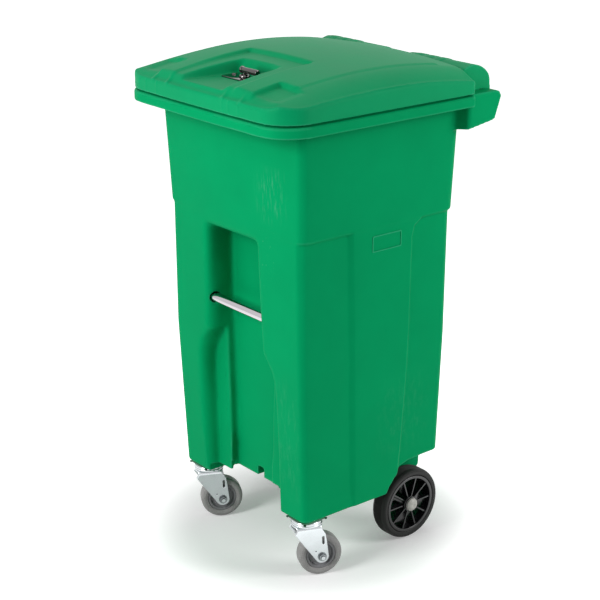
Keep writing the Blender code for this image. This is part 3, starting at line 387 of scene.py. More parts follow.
# %% Plated steel
def plated_steel(name, colour, roughness, spread, stretch=(1.0, 1.0, 1.0)):
    material, tree, shader = new_material(name)
    shader.inputs["Metallic"].default_value = 1.0
    mapped = add_node(tree, "ShaderNodeMapping", {"Vector": own_place(tree), "Scale": stretch})
    marks = noise(tree, mapped.outputs["Vector"], 60.0, 4.0, 0.55)
    tint = two_tone(tree, marks, colour, 0.94, 1.0, ends=(0.3, 0.65))
    rough = remap(tree, marks, 0.0, 1.0, roughness - spread, roughness + spread)
    finish_surface(tree, shader, tint, rough, marks, strength=0.02, distance=0.0003)
    return material


zinc_finish = plated_steel("zinc_steel", (0.60, 0.63, 0.65), 0.16, 0.04)
# Painted shade and painted reflection: the plate's zinc is tinted dark green for the shade under the
# foot and the green tub mirrored in it.
plate_painted_shade_finish = plated_steel("zinc_plate", (0.05, 0.13, 0.08), 0.30, 0.05)
nut_finish = plated_steel("zinc_nut", (0.26, 0.28, 0.29), 0.22, 0.05)
# Painted reflection: the chrome's tint is dark so that it looks as if it mirrors dark surroundings.
chrome_dark_reflection_finish = plated_steel("chrome", (0.13, 0.12, 0.12), 0.08, 0.03)
bar_finish = plated_steel("bar_steel", (0.56, 0.53, 0.56), 0.12, 0.04, stretch=(0.08, 1.0, 1.0))
axle_finish = plated_steel("axle_steel", (0.50, 0.50, 0.51), 0.35, 0.08)
print("materials so far:", len(bpy.data.materials))

# %% [markdown]
# The wheels mix five finishes: matt black rubber, a glossy black plastic hub, a pale grey
# cap, and the two greys of the caster wheels. They differ in colour, in gloss and in how
# coarse the grain is, so one recipe that takes these as numbers serves them all.


# %% Rubber and wheel plastics
def wheel_finish(name, colour, roughness, grain_scale, grain_strength, specular):
    material, tree, shader = new_material(name)
    shader.inputs["Specular IOR Level"].default_value = specular
    grain = noise(tree, own_place(tree), grain_scale, 4.0)
    tint = two_tone(tree, grain, colour, 0.82, 1.12)
    rough = remap(tree, grain, 0.0, 1.0, roughness - 0.05, roughness + 0.05)
    finish_surface(tree, shader, tint, rough, grain, grain_strength, distance=0.0006)
    return material


tyre_finish = wheel_finish("tyre_black", (0.012, 0.013, 0.012), 0.55, 420.0, 0.25, 0.25)
hub_finish = wheel_finish("hub_black", (0.006, 0.006, 0.007), 0.17, 120.0, 0.05, 0.60)
cap_finish = wheel_finish("cap_grey", (0.50, 0.49, 0.45), 0.38, 260.0, 0.6, 0.5)
caster_finish = wheel_finish("caster_grey", (0.20, 0.20, 0.21), 0.40, 300.0, 0.15, 0.4)
tread_finish = wheel_finish("tread_grey", (0.31, 0.305, 0.30), 0.50, 400.0, 0.15, 0.3)
print("materials in all:", len(bpy.data.materials))

# %% [markdown]
# Every piece below starts as a closed solid. Three shapes cover most of them: a loft through
# rings of points, a rod, and a profile turned on an axis. A slab and a box are lofts with two
# rings. settle() makes whatever the modifiers show into a plain mesh.


# %% Straight solids
def add_object(name, bm):
    bmesh.ops.recalc_face_normals(bm, faces=bm.faces)
    mesh = bpy.data.meshes.new(name)
    bm.to_mesh(mesh)
    bm.free()
    obj = bpy.data.objects.new(name, mesh)
    scene.collection.objects.link(obj)
    return obj


def settle(obj):
    """Makes what the modifiers show into the object's own mesh."""
    bpy.context.view_layer.update()
    graph = bpy.context.evaluated_depsgraph_get()
    mesh = bpy.data.meshes.new_from_object(obj.evaluated_get(graph))
    obj.modifiers.clear()
    obj.data = mesh
    return obj


def loft(name, rings):
    """A closed solid through rings of equal point counts."""
    bm = bmesh.new()
    rows = [[bm.verts.new(point) for point in ring] for ring in rings]
    count = len(rows[0])
    for low, high in zip(rows, rows[1:]):
        for i in range(count):
            j = (i + 1) % count
            bm.faces.new((low[i], low[j], high[j], high[i]))
    bm.faces.new(rows[0])
    bm.faces.new(rows[-1])
    return add_object(name, bm)


def slab(name, points, plane, low, high):
    """A flat outline given thickness along the axis that its plane leaves out."""
    spread = {
        "YZ": lambda a, b, depth: (depth, a, b),
        "XZ": lambda a, b, depth: (a, depth, b),
        "XY": lambda a, b, depth: (a, b, depth),
    }[plane]
    return loft(name, [[spread(a, b, depth) for a, b in points] for depth in (low, high)])


def box(name, low, high):
    corners = [(low[0], low[1]), (high[0], low[1]), (high[0], high[1]), (low[0], high[1])]
    return slab(name, corners, "XY", low[2], high[2])


def span(sign, near, far):
    """A stretch of the X axis on one side, its lower end first."""
    return sorted((sign * near, sign * far))


# %% [markdown]
# Round pieces come from a rod or a lathe. A rod is Blender's cone with two equal radii. The
# lathe is a Screw modifier: it sweeps a profile once round Z, and the result is then laid
# along the axis that the piece really has.


# %% Round solids
LATHE_MERGE = 0.00005


def along(axis):
    """The rotation that turns local Z to the axis."""
    return Vector(axis).to_track_quat("Z", "Y").to_matrix().to_4x4()


def rod(name, radius, start, end, sides=64):
    start = Vector(start)
    end = Vector(end)
    bm = bmesh.new()
    bmesh.ops.create_cone(
        bm, cap_ends=True, segments=sides, radius1=radius, radius2=radius,
        depth=(end - start).length,
    )
    place = Matrix.Translation((start + end) / 2) @ along(end - start)
    bmesh.ops.transform(bm, matrix=place, verts=bm.verts)
    return add_object(name, bm)


def cross_rod(name, radius, reach, y, z, sides=64):
    """A rod along X that reaches as far to either side."""
    return rod(name, radius, (-reach, y, z), (reach, y, z), sides)


def turned(name, profile, centre, axis, steps=96):
    """A closed profile of (radius, height) points turned about an axis."""
    pairs = zip(profile, profile[1:] + profile[:1])
    if sum(a[0] * b[1] - b[0] * a[1] for a, b in pairs) > 0:
        profile = profile[::-1]
    mesh = bpy.data.meshes.new(name)
    edges = [(i, i + 1) for i in range(len(profile) - 1)]
    if profile[0][0] > 0 and profile[-1][0] > 0:
        edges.append((len(profile) - 1, 0))
    mesh.from_pydata([(radius, 0.0, height) for radius, height in profile], edges, [])
    obj = bpy.data.objects.new(name, mesh)
    scene.collection.objects.link(obj)
    screw = obj.modifiers.new("lathe", "SCREW")
    screw.steps = steps
    screw.render_steps = steps
    screw.use_merge_vertices = True
    screw.merge_threshold = LATHE_MERGE
    settle(obj)
    obj.data.transform(Matrix.Translation(centre) @ along(axis))
    return obj


# %% [markdown]
# Real edges are never sharp. eased() rounds each corner of an outline before it becomes a
# solid, with a short curve between two points set back from the corner. Boolean modifiers
# then join and cut the solids, and the tools are removed once their work is done.


# %% Rounded outlines and joining
MOST_EASE = 0.45


def eased(points, radius, steps=4, closed=True):
    """The outline with each corner rounded by at most the radius."""
    rounded_points = []
    count = len(points)
    for i, corner in enumerate(points):
        at_end = not closed and i in (0, count - 1)
        before = Vector(points[i - 1])
        after = Vector(points[(i + 1) % count])
        corner = Vector(corner)
        if at_end or (before - corner).length < 1e-6 or (after - corner).length < 1e-6:
            rounded_points.append(tuple(corner))
            continue
        start, end = (
            corner + (other - corner).normalized() * min(radius, (other - corner).length * MOST_EASE)
            for other in (before, after)
        )
        for step in range(steps + 1):
            part = step / steps
            first = start.lerp(corner, part)
            second = corner.lerp(end, part)
            rounded_points.append(tuple(first.lerp(second, part)))
    return rounded_points


def combine(target, tools, how="DIFFERENCE"):
    """Joins the tools to the target or cuts them from it, then removes them."""
    for tool in tools:
        modifier = target.modifiers.new(tool.name, "BOOLEAN")
        modifier.operation = how
        modifier.solver = "EXACT"
        modifier.object = tool
    settle(target)
    for tool in tools:
        bpy.data.objects.remove(tool)
    return target


# %% [markdown]
# A piece belongs to the can once it has a finish, the body of the frame that it moves with,
# and the solids of the frame that it stands for. One function does all three and prints how
# big the piece came out, so that none is left half done.


# %% Dressing a piece
def shade(obj, finish, angle=35):
    obj.data.materials.clear()
    obj.data.materials.append(finish)
    obj.data.shade_smooth()
    obj.data.set_sharp_from_angle(angle=math.radians(angle))
    return obj


def dress(obj, finish, body, *nodes, angle=35, slot=None):
    """Gives a piece its finish and its body, and lets it stand for those solids of the frame."""
    shade(obj, finish, angle)
    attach(obj, body)
    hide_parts(*nodes)
    points = [vert.co for vert in obj.data.vertices]
    size = [round(1000 * (max(p[i] for p in points) - min(p[i] for p in points))) for i in range(3)]
    print(obj.name, "rides on", body, "and measures", size, "mm")
    return obj


# %% [markdown]
# Moulded plastic has no hard corner anywhere: the hot skin flows into soft fillets. Rounding
# every crossing of a dozen shapes by hand would be slow. Instead the joined solid is rebuilt
# from small even cells, smoothed a few times, and thinned out again where it is flat.


# %% Soft moulded edges
SMOOTHING = 0.5


def soften(obj, cell, rounds, keep, region=None, region_rounds=0):
    """Rebuilds a solid from even cells, smooths it, and keeps a share of the faces.

    A region gives each point a weight of 0 to 1, and is smoothed by further rounds.
    """
    remesh = obj.modifiers.new("even cells", "REMESH")
    remesh.mode = "VOXEL"
    remesh.voxel_size = cell
    settle(obj)
    if region:
        softer = obj.vertex_groups.new(name="softer")
        for vert in obj.data.vertices:
            weight = region(vert.co)
            if weight > 0:
                softer.add([vert.index], weight, "REPLACE")
        extra = obj.modifiers.new("soft region", "SMOOTH")
        extra.factor = SMOOTHING
        extra.iterations = region_rounds
        extra.vertex_group = softer.name
    smooth = obj.modifiers.new("soft edges", "SMOOTH")
    smooth.factor = SMOOTHING
    smooth.iterations = rounds
    thin = obj.modifiers.new("thin out", "DECIMATE")
    thin.ratio = keep
    settle(obj)
    print(obj.name, "has", len(obj.data.polygons), "faces")
    return obj


# %% [markdown]
# The tub is a tapering box with rounded corners. Its sides stand out by a few millimetres
# above a step, and it flares into a wide rim. Each row of the table is one height: the half
# width, the front, the rear, the corner radii, how far the front bows out in the middle, and
# how far the front corners are set in, all in metres.

# %% Tub sizes
TUB_BOTTOM = 0.130
STEP_LOW = 0.7045
STEP_HIGH = 0.7085
TUB_LEVELS = (
    (TUB_BOTTOM, 0.1937, -0.1752, 0.1763, 0.012, 0.015, 0.0, 0.0),
    (0.135, 0.1978, -0.1795, 0.1805, 0.0135, 0.020, 0.0, 0.0),
    (0.449, 0.2045, -0.1929, 0.1881, 0.014, 0.022, 0.0025, 0.0),
    (STEP_LOW, 0.2042, -0.1962, 0.1918, 0.014, 0.024, 0.0075, 0.0027),
    (STEP_HIGH, 0.2092, -0.1970, 0.1963, 0.018, 0.027, 0.0075, 0.0),
    (0.891, 0.2171, -0.2041, 0.2038, 0.018, 0.034, 0.0075, 0.0),
    (0.925, 0.2186, -0.2057, 0.2052, 0.018, 0.036, 0.0075, 0.0),
)
PANEL_DEPTH = 0.0041
WALL = 0.005
FLOOR_THICK = 0.007
RIM_LOW = 0.916
RIM_TOP = 0.937
RIM_HALF = 0.2508
RIM_FRONT = -0.2732
RIM_REAR = 0.199
RIM_BOW = 0.0027
RIM_CORNER = 0.064
LIP_TOP = 0.946
REAR_WALL_Y = 0.185


def arc(centre_a, centre_b, radius, start, end, steps):
    """Points of an arc from the start to the end angle, in degrees."""
    angles = [math.radians(start + (end - start) * i / steps) for i in range(steps + 1)]
    return [(centre_a + radius * math.cos(t), centre_b + radius * math.sin(t)) for t in angles]


def smooth_step(value, low, high):
    """0 below low, 1 above high and an even S curve between them."""
    part = min(1.0, max(0.0, (value - low) / (high - low)))
    return part * part * (3 - 2 * part)


def rounded(half, front, rear, front_radius, rear_radius, z, bow=0.0, dip=0.0, steps=14):
    """A rounded rectangle at one height, its front bowed out and its front corners set in."""
    ring = arc(half - front_radius, front + front_radius, front_radius, -90, 0, steps)
    set_in = [dip * smooth_step(i / steps, 0.0, 0.45) for i in range(steps + 1)]
    ring = [(x, y + inward) for (x, y), inward in zip(ring, set_in)]
    ring += arc(half - rear_radius, rear - rear_radius, rear_radius, 0, 90, steps)
    ring += [(-x, y) for x, y in reversed(ring)]
    straight = half - front_radius
    parts = [-0.9 + 0.1 * i for i in range(19)]
    ring += [(straight * part, front - bow * (1 - part**2)) for part in parts]
    return [(x, y, z) for x, y in ring]


def level_at(z):
    """The row of the table at any height, without the height."""
    for low, high in zip(TUB_LEVELS, TUB_LEVELS[1:]):
        if z <= high[0]:
            part = (z - low[0]) / (high[0] - low[0])
            return [a + (b - a) * part for a, b in zip(low[1:], high[1:])]
    return list(TUB_LEVELS[-1][1:])


def tub_ring(z, inset=0.0, ease=0.0):
    """The tub's section at one height, set in, its corner radii eased by some more."""
    half, front, rear, front_radius, rear_radius, bow, dip = level_at(z)
    return rounded(
        half - inset, front + inset, rear - inset, front_radius - ease, rear_radius - ease,
        z, bow, dip,
    )


print("tub width from the bottom up:", [round(2 * level[1], 3) for level in TUB_LEVELS])

# %% [markdown]
# A band stands proud on each side between two sunken corner panels. Its rear edge is a crisp
# line and its front edge a wide soft slope, so the band is a loft whose section leans in over
# a different distance at each end.

# %% Side bands
BAND_EDGES = (  # height, front edge, rear edge
    (0.132, -0.060, 0.0655),
    (0.187, -0.062, 0.066),
    (0.257, -0.065, 0.071),
    (0.400, -0.071, 0.0786),
    (0.500, -0.074, 0.081),
    (0.670, -0.078, 0.0835),
    (0.693, -0.0785, 0.089),
    (STEP_LOW, -0.079, 0.107),
)
FRONT_SLOPE = 0.014
REAR_SLOPE = 0.0045
BAND_LEAD = 0.004
BAND_ROOT = 0.002
BAND_SKIN = 0.0003
BAND_TOP_DEPTHS = (0.006, 0.005, BAND_SKIN, BAND_SKIN, 0.005, 0.006)


def side_band(sign):
    """One band: six points at each height, from its front root round to its rear root."""
    rings = []
    for z, front, rear in BAND_EDGES:
        half = level_at(z)[0]
        root, skin, outer = half - BAND_ROOT, half - BAND_SKIN, half + PANEL_DEPTH
        start = front - BAND_LEAD
        xs = (root, skin, outer, outer, skin, root)
        ys = (start, start, start + FRONT_SLOPE, rear - REAR_SLOPE, rear, rear)
        rings.append([(sign * x, y, z) for x, y in zip(xs, ys)])
    half = level_at(STEP_HIGH)[0]
    top = STEP_HIGH + 0.002
    rings.append([(sign * (half - depth), y, top) for depth, y in zip(BAND_TOP_DEPTHS, ys)])
    return loft("side_band", rings)


print("side band drawn at", len(BAND_EDGES) + 1, "heights")

# %% [markdown]
# The front is let in twice. A deep pocket gives room for fingers behind the lift bar, and a
# shallower, wider one below it makes two steps down the front. Their walls lean inwards for
# the mould to come off, and their mouths flare open in a soft lip. So each cutter is a loft
# from a wide outline at the face of the can to a narrower one at the back.

# %% Front recess
FACE_Y = -0.192
POCKET_BACK = -0.139
LOWER_POCKET_BACK = -0.157
POCKET_TOP = 0.687
POCKET_SIDES = (  # height, half width at the face, half width at the back
    (0.100, 0.0695, 0.0690), (0.200, 0.0695, 0.0685), (0.300, 0.0725, 0.0698), (0.380, 0.0795, 0.0722),
    (0.433, 0.0820, 0.0738), (0.470, 0.0868, 0.0750), (0.530, 0.0827, 0.0758), (0.620, 0.0800, 0.0785),
)
LOWER_POCKET_SIDES = (  # the same for the shallower pocket
    (0.100, 0.1200, 0.1120), (0.200, 0.1200, 0.1100), (0.300, 0.1205, 0.1120), (0.375, 0.1195, 0.1150),
    (0.407, 0.1175, 0.1112), (0.430, 0.1115, 0.1000), (0.450, 0.0965, 0.0890), (0.463, 0.0850, 0.0780),
)
RECESS_MOUTH = (  # depth behind the face, how far the walls stand open there
    (-0.001, 0.0070), (0.002, 0.0035), (0.005, 0.0010), (0.009, -0.0010), (0.014, -0.0022),
    (0.022, -0.0026),
)
BACK_OPEN = -0.0016


def face_at(x, z):
    """The y of the can's bowed front."""
    half, front, _, _, _, bow, _ = level_at(max(z, 0.14))
    return front - bow * (1 - (x / half) ** 2)


def recess_ring(sides, part, grow, place, tops=None):
    """One outline of a recess; part goes from 0 at its mouth to 1 at its back.

    place gives the y of a point, and tops the height and corner radius at either end.
    """
    half = [(wide + (narrow - wide) * part + grow, z) for z, wide, narrow in sides]
    if tops is not None:
        height, radius = (low + (high - low) * part + grow for low, high in zip(*tops))
        half += arc(half[-1][0] - 0.001 - radius, height - radius, radius, 5, 90, 8)
    outline = [(-x, z) for x, z in half] + half[::-1]
    return [(x, place(x, z), z) for x, z in outline]


def recess_cutter(name, sides, back, grow=0.0, tops=None):
    """A cutter from in front of the can to the back of a recess, with a flared mouth."""
    rings = [recess_ring(sides, 0.0, grow + RECESS_MOUTH[0][1], lambda x, z: -0.30, tops)]
    for depth, opened in RECESS_MOUTH:
        part = max(0.0, depth) / (back - FACE_Y)
        rings.append(recess_ring(
            sides, part, grow + opened, lambda x, z: face_at(x, z) + depth, tops,
        ))
    rings.append(recess_ring(sides, 1.0, grow + BACK_OPEN, lambda x, z: back + grow, tops))
    return loft(name, rings)


def recess_cutters(grow=0.0):
    tops = ((POCKET_TOP, 0.006), (POCKET_TOP - 0.008, 0.018))
    return [
        recess_cutter("pocket", POCKET_SIDES, POCKET_BACK, grow, tops),
        recess_cutter("lower_pocket", LOWER_POCKET_SIDES, LOWER_POCKET_BACK, grow),
    ]


depths = [round(back - FACE_Y, 3) for back in (POCKET_BACK, LOWER_POCKET_BACK)]
print("recess let in by", depths, "m")

# %% [markdown]
# A wheel arch opens each rear corner, the underside is raised between the feet, and two
# notches nick its front edge. A plain cavity fills the inside. It stays one wall thickness
# behind every hollow that comes in from outside, as the skin of a moulded can does.

# %% Wheel arches and cavity
UNDER = 0.10  # a height below the whole tub, where its lower cutters start
WELL_IN = 0.1405
AXLE_Y = 0.1194
WHEEL_RADIUS = 0.0762
UNDERSIDE = 0.1535
UNDERSIDE_FRONT = 0.166  # where the right-hand strip of the recess ends
LEFT_STRIP_END = 0.146
LEFT_STRIP_EDGE = -0.0690
FEET_APART = 0.1195
FOOT_IN = 0.125
FOOT_TOP = 0.152
NOTCHES = ((-0.0015, 0.0175), (0.0625, 0.0720))
NOTCH_TOP = 0.1745


def arch_outline(grow=0.0):
    arch = [
        (0.0335, 0.129), (0.0423, 0.147), (0.0479, 0.1525), (0.0681, 0.180),
        (0.0718, 0.1836), (0.093, 0.1895), (0.120, 0.191), (0.300, 0.1935),
    ]
    grown = [(y - grow * 0.8, z + grow) for y, z in arch]
    return [(arch[0][0] - grow, UNDER)] + grown + [(arch[-1][0], UNDER)]


def tub_cavity():
    heights = (0.150, 0.449, STEP_LOW, STEP_HIGH, 0.891, 0.918)
    rings = [tub_ring(TUB_BOTTOM + FLOOR_THICK, WALL + 0.006, WALL / 2)]
    rings += [tub_ring(z, WALL, WALL / 2) for z in heights]
    rings.append([(x, y, 0.960) for x, y, z in rings[-1]])
    cavity = loft("cavity", rings)
    kept = recess_cutters(WALL)
    half = FEET_APART + WALL
    for name, rear, top in (
        ("underside_wall", -0.015, UNDERSIDE + FLOOR_THICK),
        ("step_wall", -0.138, UNDERSIDE_FRONT + FLOOR_THICK),
    ):
        kept.append(box(name, (-half, -0.30, UNDER), (half, rear, top)))
    for low, high in NOTCHES:
        top = NOTCH_TOP + WALL
        kept.append(box("notch_wall", (low - WALL, -0.15, UNDER), (high + WALL, -0.115, top)))
    kept.append(box("rear_wall", (-0.206, REAR_WALL_Y - WALL, 0.792), (0.206, 0.30, 1.0)))
    for sign in (1, -1):
        kept.append(slab("arch_wall", arch_outline(WALL), "YZ", *span(sign, WELL_IN - WALL, 0.30)))
        low, high = span(sign, FOOT_IN, 0.25)
        kept.append(box("foot_block", (low, -0.25, UNDER), (high, -0.105, FOOT_TOP)))
    return combine(cavity, kept)


print("underside raised by", round(UNDERSIDE - TUB_BOTTOM, 4), "m")

# %% [markdown]
# The rim is a flange turned down all round. Two arms reach back from it and carry the grip
# bar, which is also the pin that the lid swings on. An arm has one outline seen from the side
# and another seen from above, and it is what the two have in common.

# %% Rim and handle
HINGE_Y = 0.247
HINGE_Z = 0.921
GRIP_RADIUS = 0.016
ARM_IN = 0.216
ARM_OUT = 0.243
ARM_ROOT = 0.2125
ARM_OUTLINE = [
    (0.150, 0.930), (0.160, 0.9388), (0.263, 0.9388), (0.271, 0.9362), (0.2760, 0.9265),
    (0.2605, 0.884), (0.253, 0.8810), (0.162, 0.8670), (0.150, 0.880),
]
ARM_PLAN = [
    (ARM_ROOT, 0.140), (0.2150, 0.140), (0.2172, 0.168), (0.2195, 0.176), (0.2400, 0.188),
    (ARM_OUT, 0.194), (ARM_OUT, 0.280), (ARM_IN, 0.280), (ARM_IN, 0.192), (ARM_ROOT, 0.186),
]


def rim_ring(inset, z, rear=RIM_REAR, corner=0.006):
    return rounded(
        RIM_HALF - inset, RIM_FRONT + inset, rear, RIM_CORNER - inset, corner, z, RIM_BOW,
    )


def rim_hollow():
    """The groove under the rim that makes it a turned-down flange."""
    groove = loft("rim_hollow", [rim_ring(0.004, z, 0.150, 0.01) for z in (0.890, RIM_TOP - 0.004)])
    wall = tub_ring(0.925, -0.001)
    inner = [[(x, y, z) for x, y, _ in wall] for z in (0.880, 0.950)]
    return combine(groove, [loft("rim_inside", inner)])


def handle_arm(sign):
    """One arm: its side outline, kept within a plan that grows out of the tub's rear corner."""
    side = slab("arm", ARM_OUTLINE, "YZ", *span(sign, ARM_ROOT, ARM_OUT))
    plan = slab("arm_plan", [(sign * x, y) for x, y in ARM_PLAN], "XY", 0.84, 0.96)
    return combine(side, [plan], "INTERSECT")


print("grip", round(2 * GRIP_RADIUS, 3), "m thick at height", HINGE_Z)

# %% [markdown]
# Rim, lip, bands, arms and axle ribs are one moulding with the tub, so the solids are joined
# first, then everything that cuts into them is cut, and the whole is softened in one go. The
# front recess has rounder corners than the rest and is smoothed for longer.

# %% Tub moulding
BAR_RADIUS = 0.009525
BAR_Y = -0.180
BAR_Z = 0.5285
AXLE_RADIUS = 0.00635
RIB_IN = 0.100
RIB_OUT = 0.139
TUB_CELL = 0.0021


def near_recess(point):
    """1 around the front recess, 0 elsewhere and at its thin lower edge."""
    beside = 1 - smooth_step(abs(point.x), 0.150, 0.172)
    behind = 1 - smooth_step(point.y, -0.128, -0.118)
    above = 1 - smooth_step(point.z, 0.715, 0.735)
    below = smooth_step(point.z, 0.200, 0.240)
    return beside * behind * above * below


def make_tub():
    tub = loft("tub_moulding", [tub_ring(level[0]) for level in TUB_LEVELS])
    combine(tub, [box("rear_recess", (-0.200, REAR_WALL_Y, 0.800), (0.200, 0.30, 0.9305))])
    added = [
        loft("rim", [rim_ring(ease, z) for ease, z in (
            (0.001, RIM_LOW), (0.0, RIM_LOW + 0.0015), (0.0, RIM_TOP - 0.003), (0.003, RIM_TOP),
        )]),
        loft("lip", [rim_ring(0.012, z, 0.1845, 0.008) for z in (0.930, LIP_TOP)]),
        side_band(1),
        side_band(-1),
        cross_rod("grip", GRIP_RADIUS, ARM_IN + 0.006, HINGE_Y, HINGE_Z),
    ]
    rib = [(0.070, 0.142)] + arc(AXLE_Y, WHEEL_RADIUS, 0.018, 200, 340, 16) + [(0.168, 0.142)]
    for sign in (1, -1):
        added.append(handle_arm(sign))
        added.append(slab("axle_rib", rib, "YZ", *span(sign, RIB_IN, RIB_OUT)))
    combine(tub, added, "UNION")
    cutters = [
        loft("lip_inside", [rim_ring(0.017, z, 0.1805) for z in (RIM_TOP - 0.0005, 0.960)]),
        rim_hollow(),
        *recess_cutters(),
        box("underside", (-FEET_APART, -0.15, UNDER), (FEET_APART, -0.020, UNDERSIDE)),
        box("underside_front", (LEFT_STRIP_EDGE, -0.175, UNDER), (FEET_APART, -0.145, UNDERSIDE_FRONT)),
        box("left_strip_end", (-FEET_APART, -0.175, UNDER), (LEFT_STRIP_EDGE, -0.145, LEFT_STRIP_END)),
        *(box("notch", (low, -0.15, UNDER), (high, -0.120, NOTCH_TOP)) for low, high in NOTCHES),
        tub_cavity(),
        box("keeper_seat", (-0.0185, -0.2080, 0.893), (0.0185, -0.190, 0.970)),
        cross_rod("axle_hole", AXLE_RADIUS + 0.0008, 0.2, AXLE_Y, WHEEL_RADIUS),
        cross_rod("bar_hole", BAR_RADIUS + 0.0005, 0.103, BAR_Y, BAR_Z),
        *(slab("arch", arch_outline(), "YZ", *span(sign, WELL_IN, 0.30)) for sign in (1, -1)),
    ]
    combine(tub, cutters)
    soften(tub, TUB_CELL, rounds=3, keep=0.15, region=near_recess, region_rounds=48)
    dress(tub, tub_finish, "tub", "tub", angle=60)


make_tub()

# %% [markdown]
# Each side carries a small plate high on its band: a flat face inside a thin raised border.
# The face is left bare. Two rounded rectangles, one cut from the other, make the border.

# %% Side plates
SIDES = (("right", 1), ("left", -1))
PLATE_Y = (-0.023, 0.051)
PLATE_Z = (0.6595, 0.6915)
PLATE_BORDER = 0.0022
PLATE_PROUD = 0.0011
PLATE_CORNER = 0.003
PLATE_MIDDLE_Z = 0.675


def plate_outline(inset):
    low_y, high_y = PLATE_Y[0] + inset, PLATE_Y[1] - inset
    low_z, high_z = PLATE_Z[0] + inset, PLATE_Z[1] - inset
    corners = [(low_y, low_z), (high_y, low_z), (high_y, high_z), (low_y, high_z)]
    return eased(corners, PLATE_CORNER)


def make_side_plate(side, sign):
    face = level_at(PLATE_MIDDLE_Z)[0] + PANEL_DEPTH

    def layer(name, inset, low, high):
        return slab(name, plate_outline(inset), "YZ", *span(sign, face + low, face + high))

    border = layer(f"plate_border_{side}", 0.0, -0.002, PLATE_PROUD)
    combine(border, [layer("border_inside", PLATE_BORDER, -0.0002, 0.01)])
    dress(border, tub_finish, "tub")


for side, sign in SIDES:
    make_side_plate(side, sign)

# %% [markdown]
# The lid is a shallow shell with a crowned panel, a plateau towards the front and a pocket
# for the latch. Its top is a surface whose height can be written as a formula of x and y:
# each step is a smooth ramp between two levels, so a grid of points follows it directly.

# %% Lid surface
LID_HALF = 0.2488
LID_FRONT = -0.272
LID_REAR = 0.1987
LID_BOTTOM = 0.9403
LID_CORNER = 0.064
LID_INSET = 0.006
LID_THICK = 0.004
LID_BOW = 0.003
PANEL_HALF = 0.1905
PANEL_STEP = 0.0024
POCKET_FLOOR = 0.9785
LATCH_Y = -0.162
LID_TOP = 1.0165
LID_CROWN = 0.256
LID_FALL = (0.414, 0.436)  # how fast the panel falls to the front and to the rear
SHOULDER_TOP = 0.9822
SHOULDER_FALL = (0.22, 0.40)
PLATEAU_HALF = 0.144
SHELF_DEPTH = 0.0065
PLATEAU_DEPTH = 0.0080
PLATEAU_RISE = 0.0042  # how much shallower the plateau gets towards the front
PANEL_RAMP = 0.003
PANEL_WIDENS = (-0.194, -0.184)  # a ramp: the place where it starts, the place where it ends
PANEL_FRONT = (-0.262, -0.250)
PANEL_REAR = (0.150, 0.156)
SHELF_ACROSS = ((0.140, 0.150), (0.188, 0.216))  # a ramp up and a ramp down
SHELF_ALONG = ((-0.262, -0.235), (-0.196, -0.186))
PLATEAU_SIDE = (0.089, 0.098)
PLATEAU_REAR = (-0.083, -0.072)
FLARE_START = -0.118
FLARE_LENGTH = 0.141
SWELL_Y = -0.2625
SWELL_REACH = 0.0075
SWELLS = (  # x and height of the small swells along the front edge
    (-0.144, 0.0022), (-0.098, 0.0030), (0.076, 0.0026), (0.128, 0.0026),
)


def before(value, ramp):
    """1 before a ramp, 0 past it."""
    return 1 - smooth_step(value, *ramp)


def between(value, up, down):
    """1 between a ramp up and a ramp down, 0 outside them."""
    return smooth_step(value, *up) * (1 - smooth_step(value, *down))


def panel_height(x, y):
    """The crowned panel, before anything is let into it."""
    along_y = y + 0.007
    return LID_TOP - LID_CROWN * x**2 - LID_FALL[along_y >= 0] * along_y**2


def band_height(x, y):
    """The round slope from the shoulder up to the edge of the panel."""
    along_y = y + 0.003
    shoulder = SHOULDER_TOP - SHOULDER_FALL[along_y >= 0] * along_y**2
    climb = panel_height(PANEL_HALF, y) - PANEL_STEP - shoulder
    side = min(1.0, (LID_HALF - LID_INSET - abs(x)) / (LID_HALF - LID_INSET - PANEL_HALF))
    front = max(0.0, y - (LID_FRONT + LID_INSET))
    rise = min(climb * (1 - (1 - side) ** 1.6), 0.5 * front + 0.3 * climb * side)
    crown = LID_CROWN * (PANEL_HALF**2 - min(abs(x), PANEL_HALF) ** 2) * smooth_step(front, 0.0, 0.03)
    return shoulder + max(0.0, rise) + crown


def lid_height(x, y):
    """The lid's top: a crowned panel, a plateau let into it and the latch pocket."""
    ax = abs(x)
    band = band_height(x, y)
    panel_half = PLATEAU_HALF + (PANEL_HALF - PLATEAU_HALF) * smooth_step(y, *PANEL_WIDENS)
    inside = before(ax, (panel_half - PANEL_RAMP, panel_half + PANEL_RAMP))
    inside *= between(y, PANEL_FRONT, PANEL_REAR)
    height = band + inside * max(0.0, panel_height(x, y) - band)
    shelf = between(ax, *SHELF_ACROSS) * between(y, *SHELF_ALONG)
    height -= SHELF_DEPTH * shelf
    plateau = before(ax, PLATEAU_SIDE) * before(y, PLATEAU_REAR)
    depth = PLATEAU_DEPTH - PLATEAU_RISE * smooth_step(-y, 0.08, 0.25)
    height -= depth * plateau * smooth_step(y, *PANEL_FRONT)
    flare = min(1.0, max(0.0, (FLARE_START - y) / FLARE_LENGTH))
    pocket = 1 - smooth_step(ax, 0.047 + 0.011 * flare, 0.060 + 0.012 * flare)
    pocket *= 1 - smooth_step(y, -0.132 - 0.010 * smooth_step(ax, 0.025, 0.056), -0.117)
    if height > POCKET_FLOOR:
        height += pocket * (POCKET_FLOOR - height)
    for swell_x, high in SWELLS:
        off = math.hypot(x - swell_x, (y - SWELL_Y) * 0.8) / SWELL_REACH
        height += high * max(0.0, 1 - off**2) ** 2
    return height


print("lid's middle at height", round(lid_height(0.0, 0.0), 4), "m")

# %% [markdown]
# The grid's rows run across the lid. Near the rounded front corners the rows get closer and
# shorter so that their ends lie on the corner's arc. The border of the grid goes down as a
# skirt, and outward() says which way is out at any of its points.

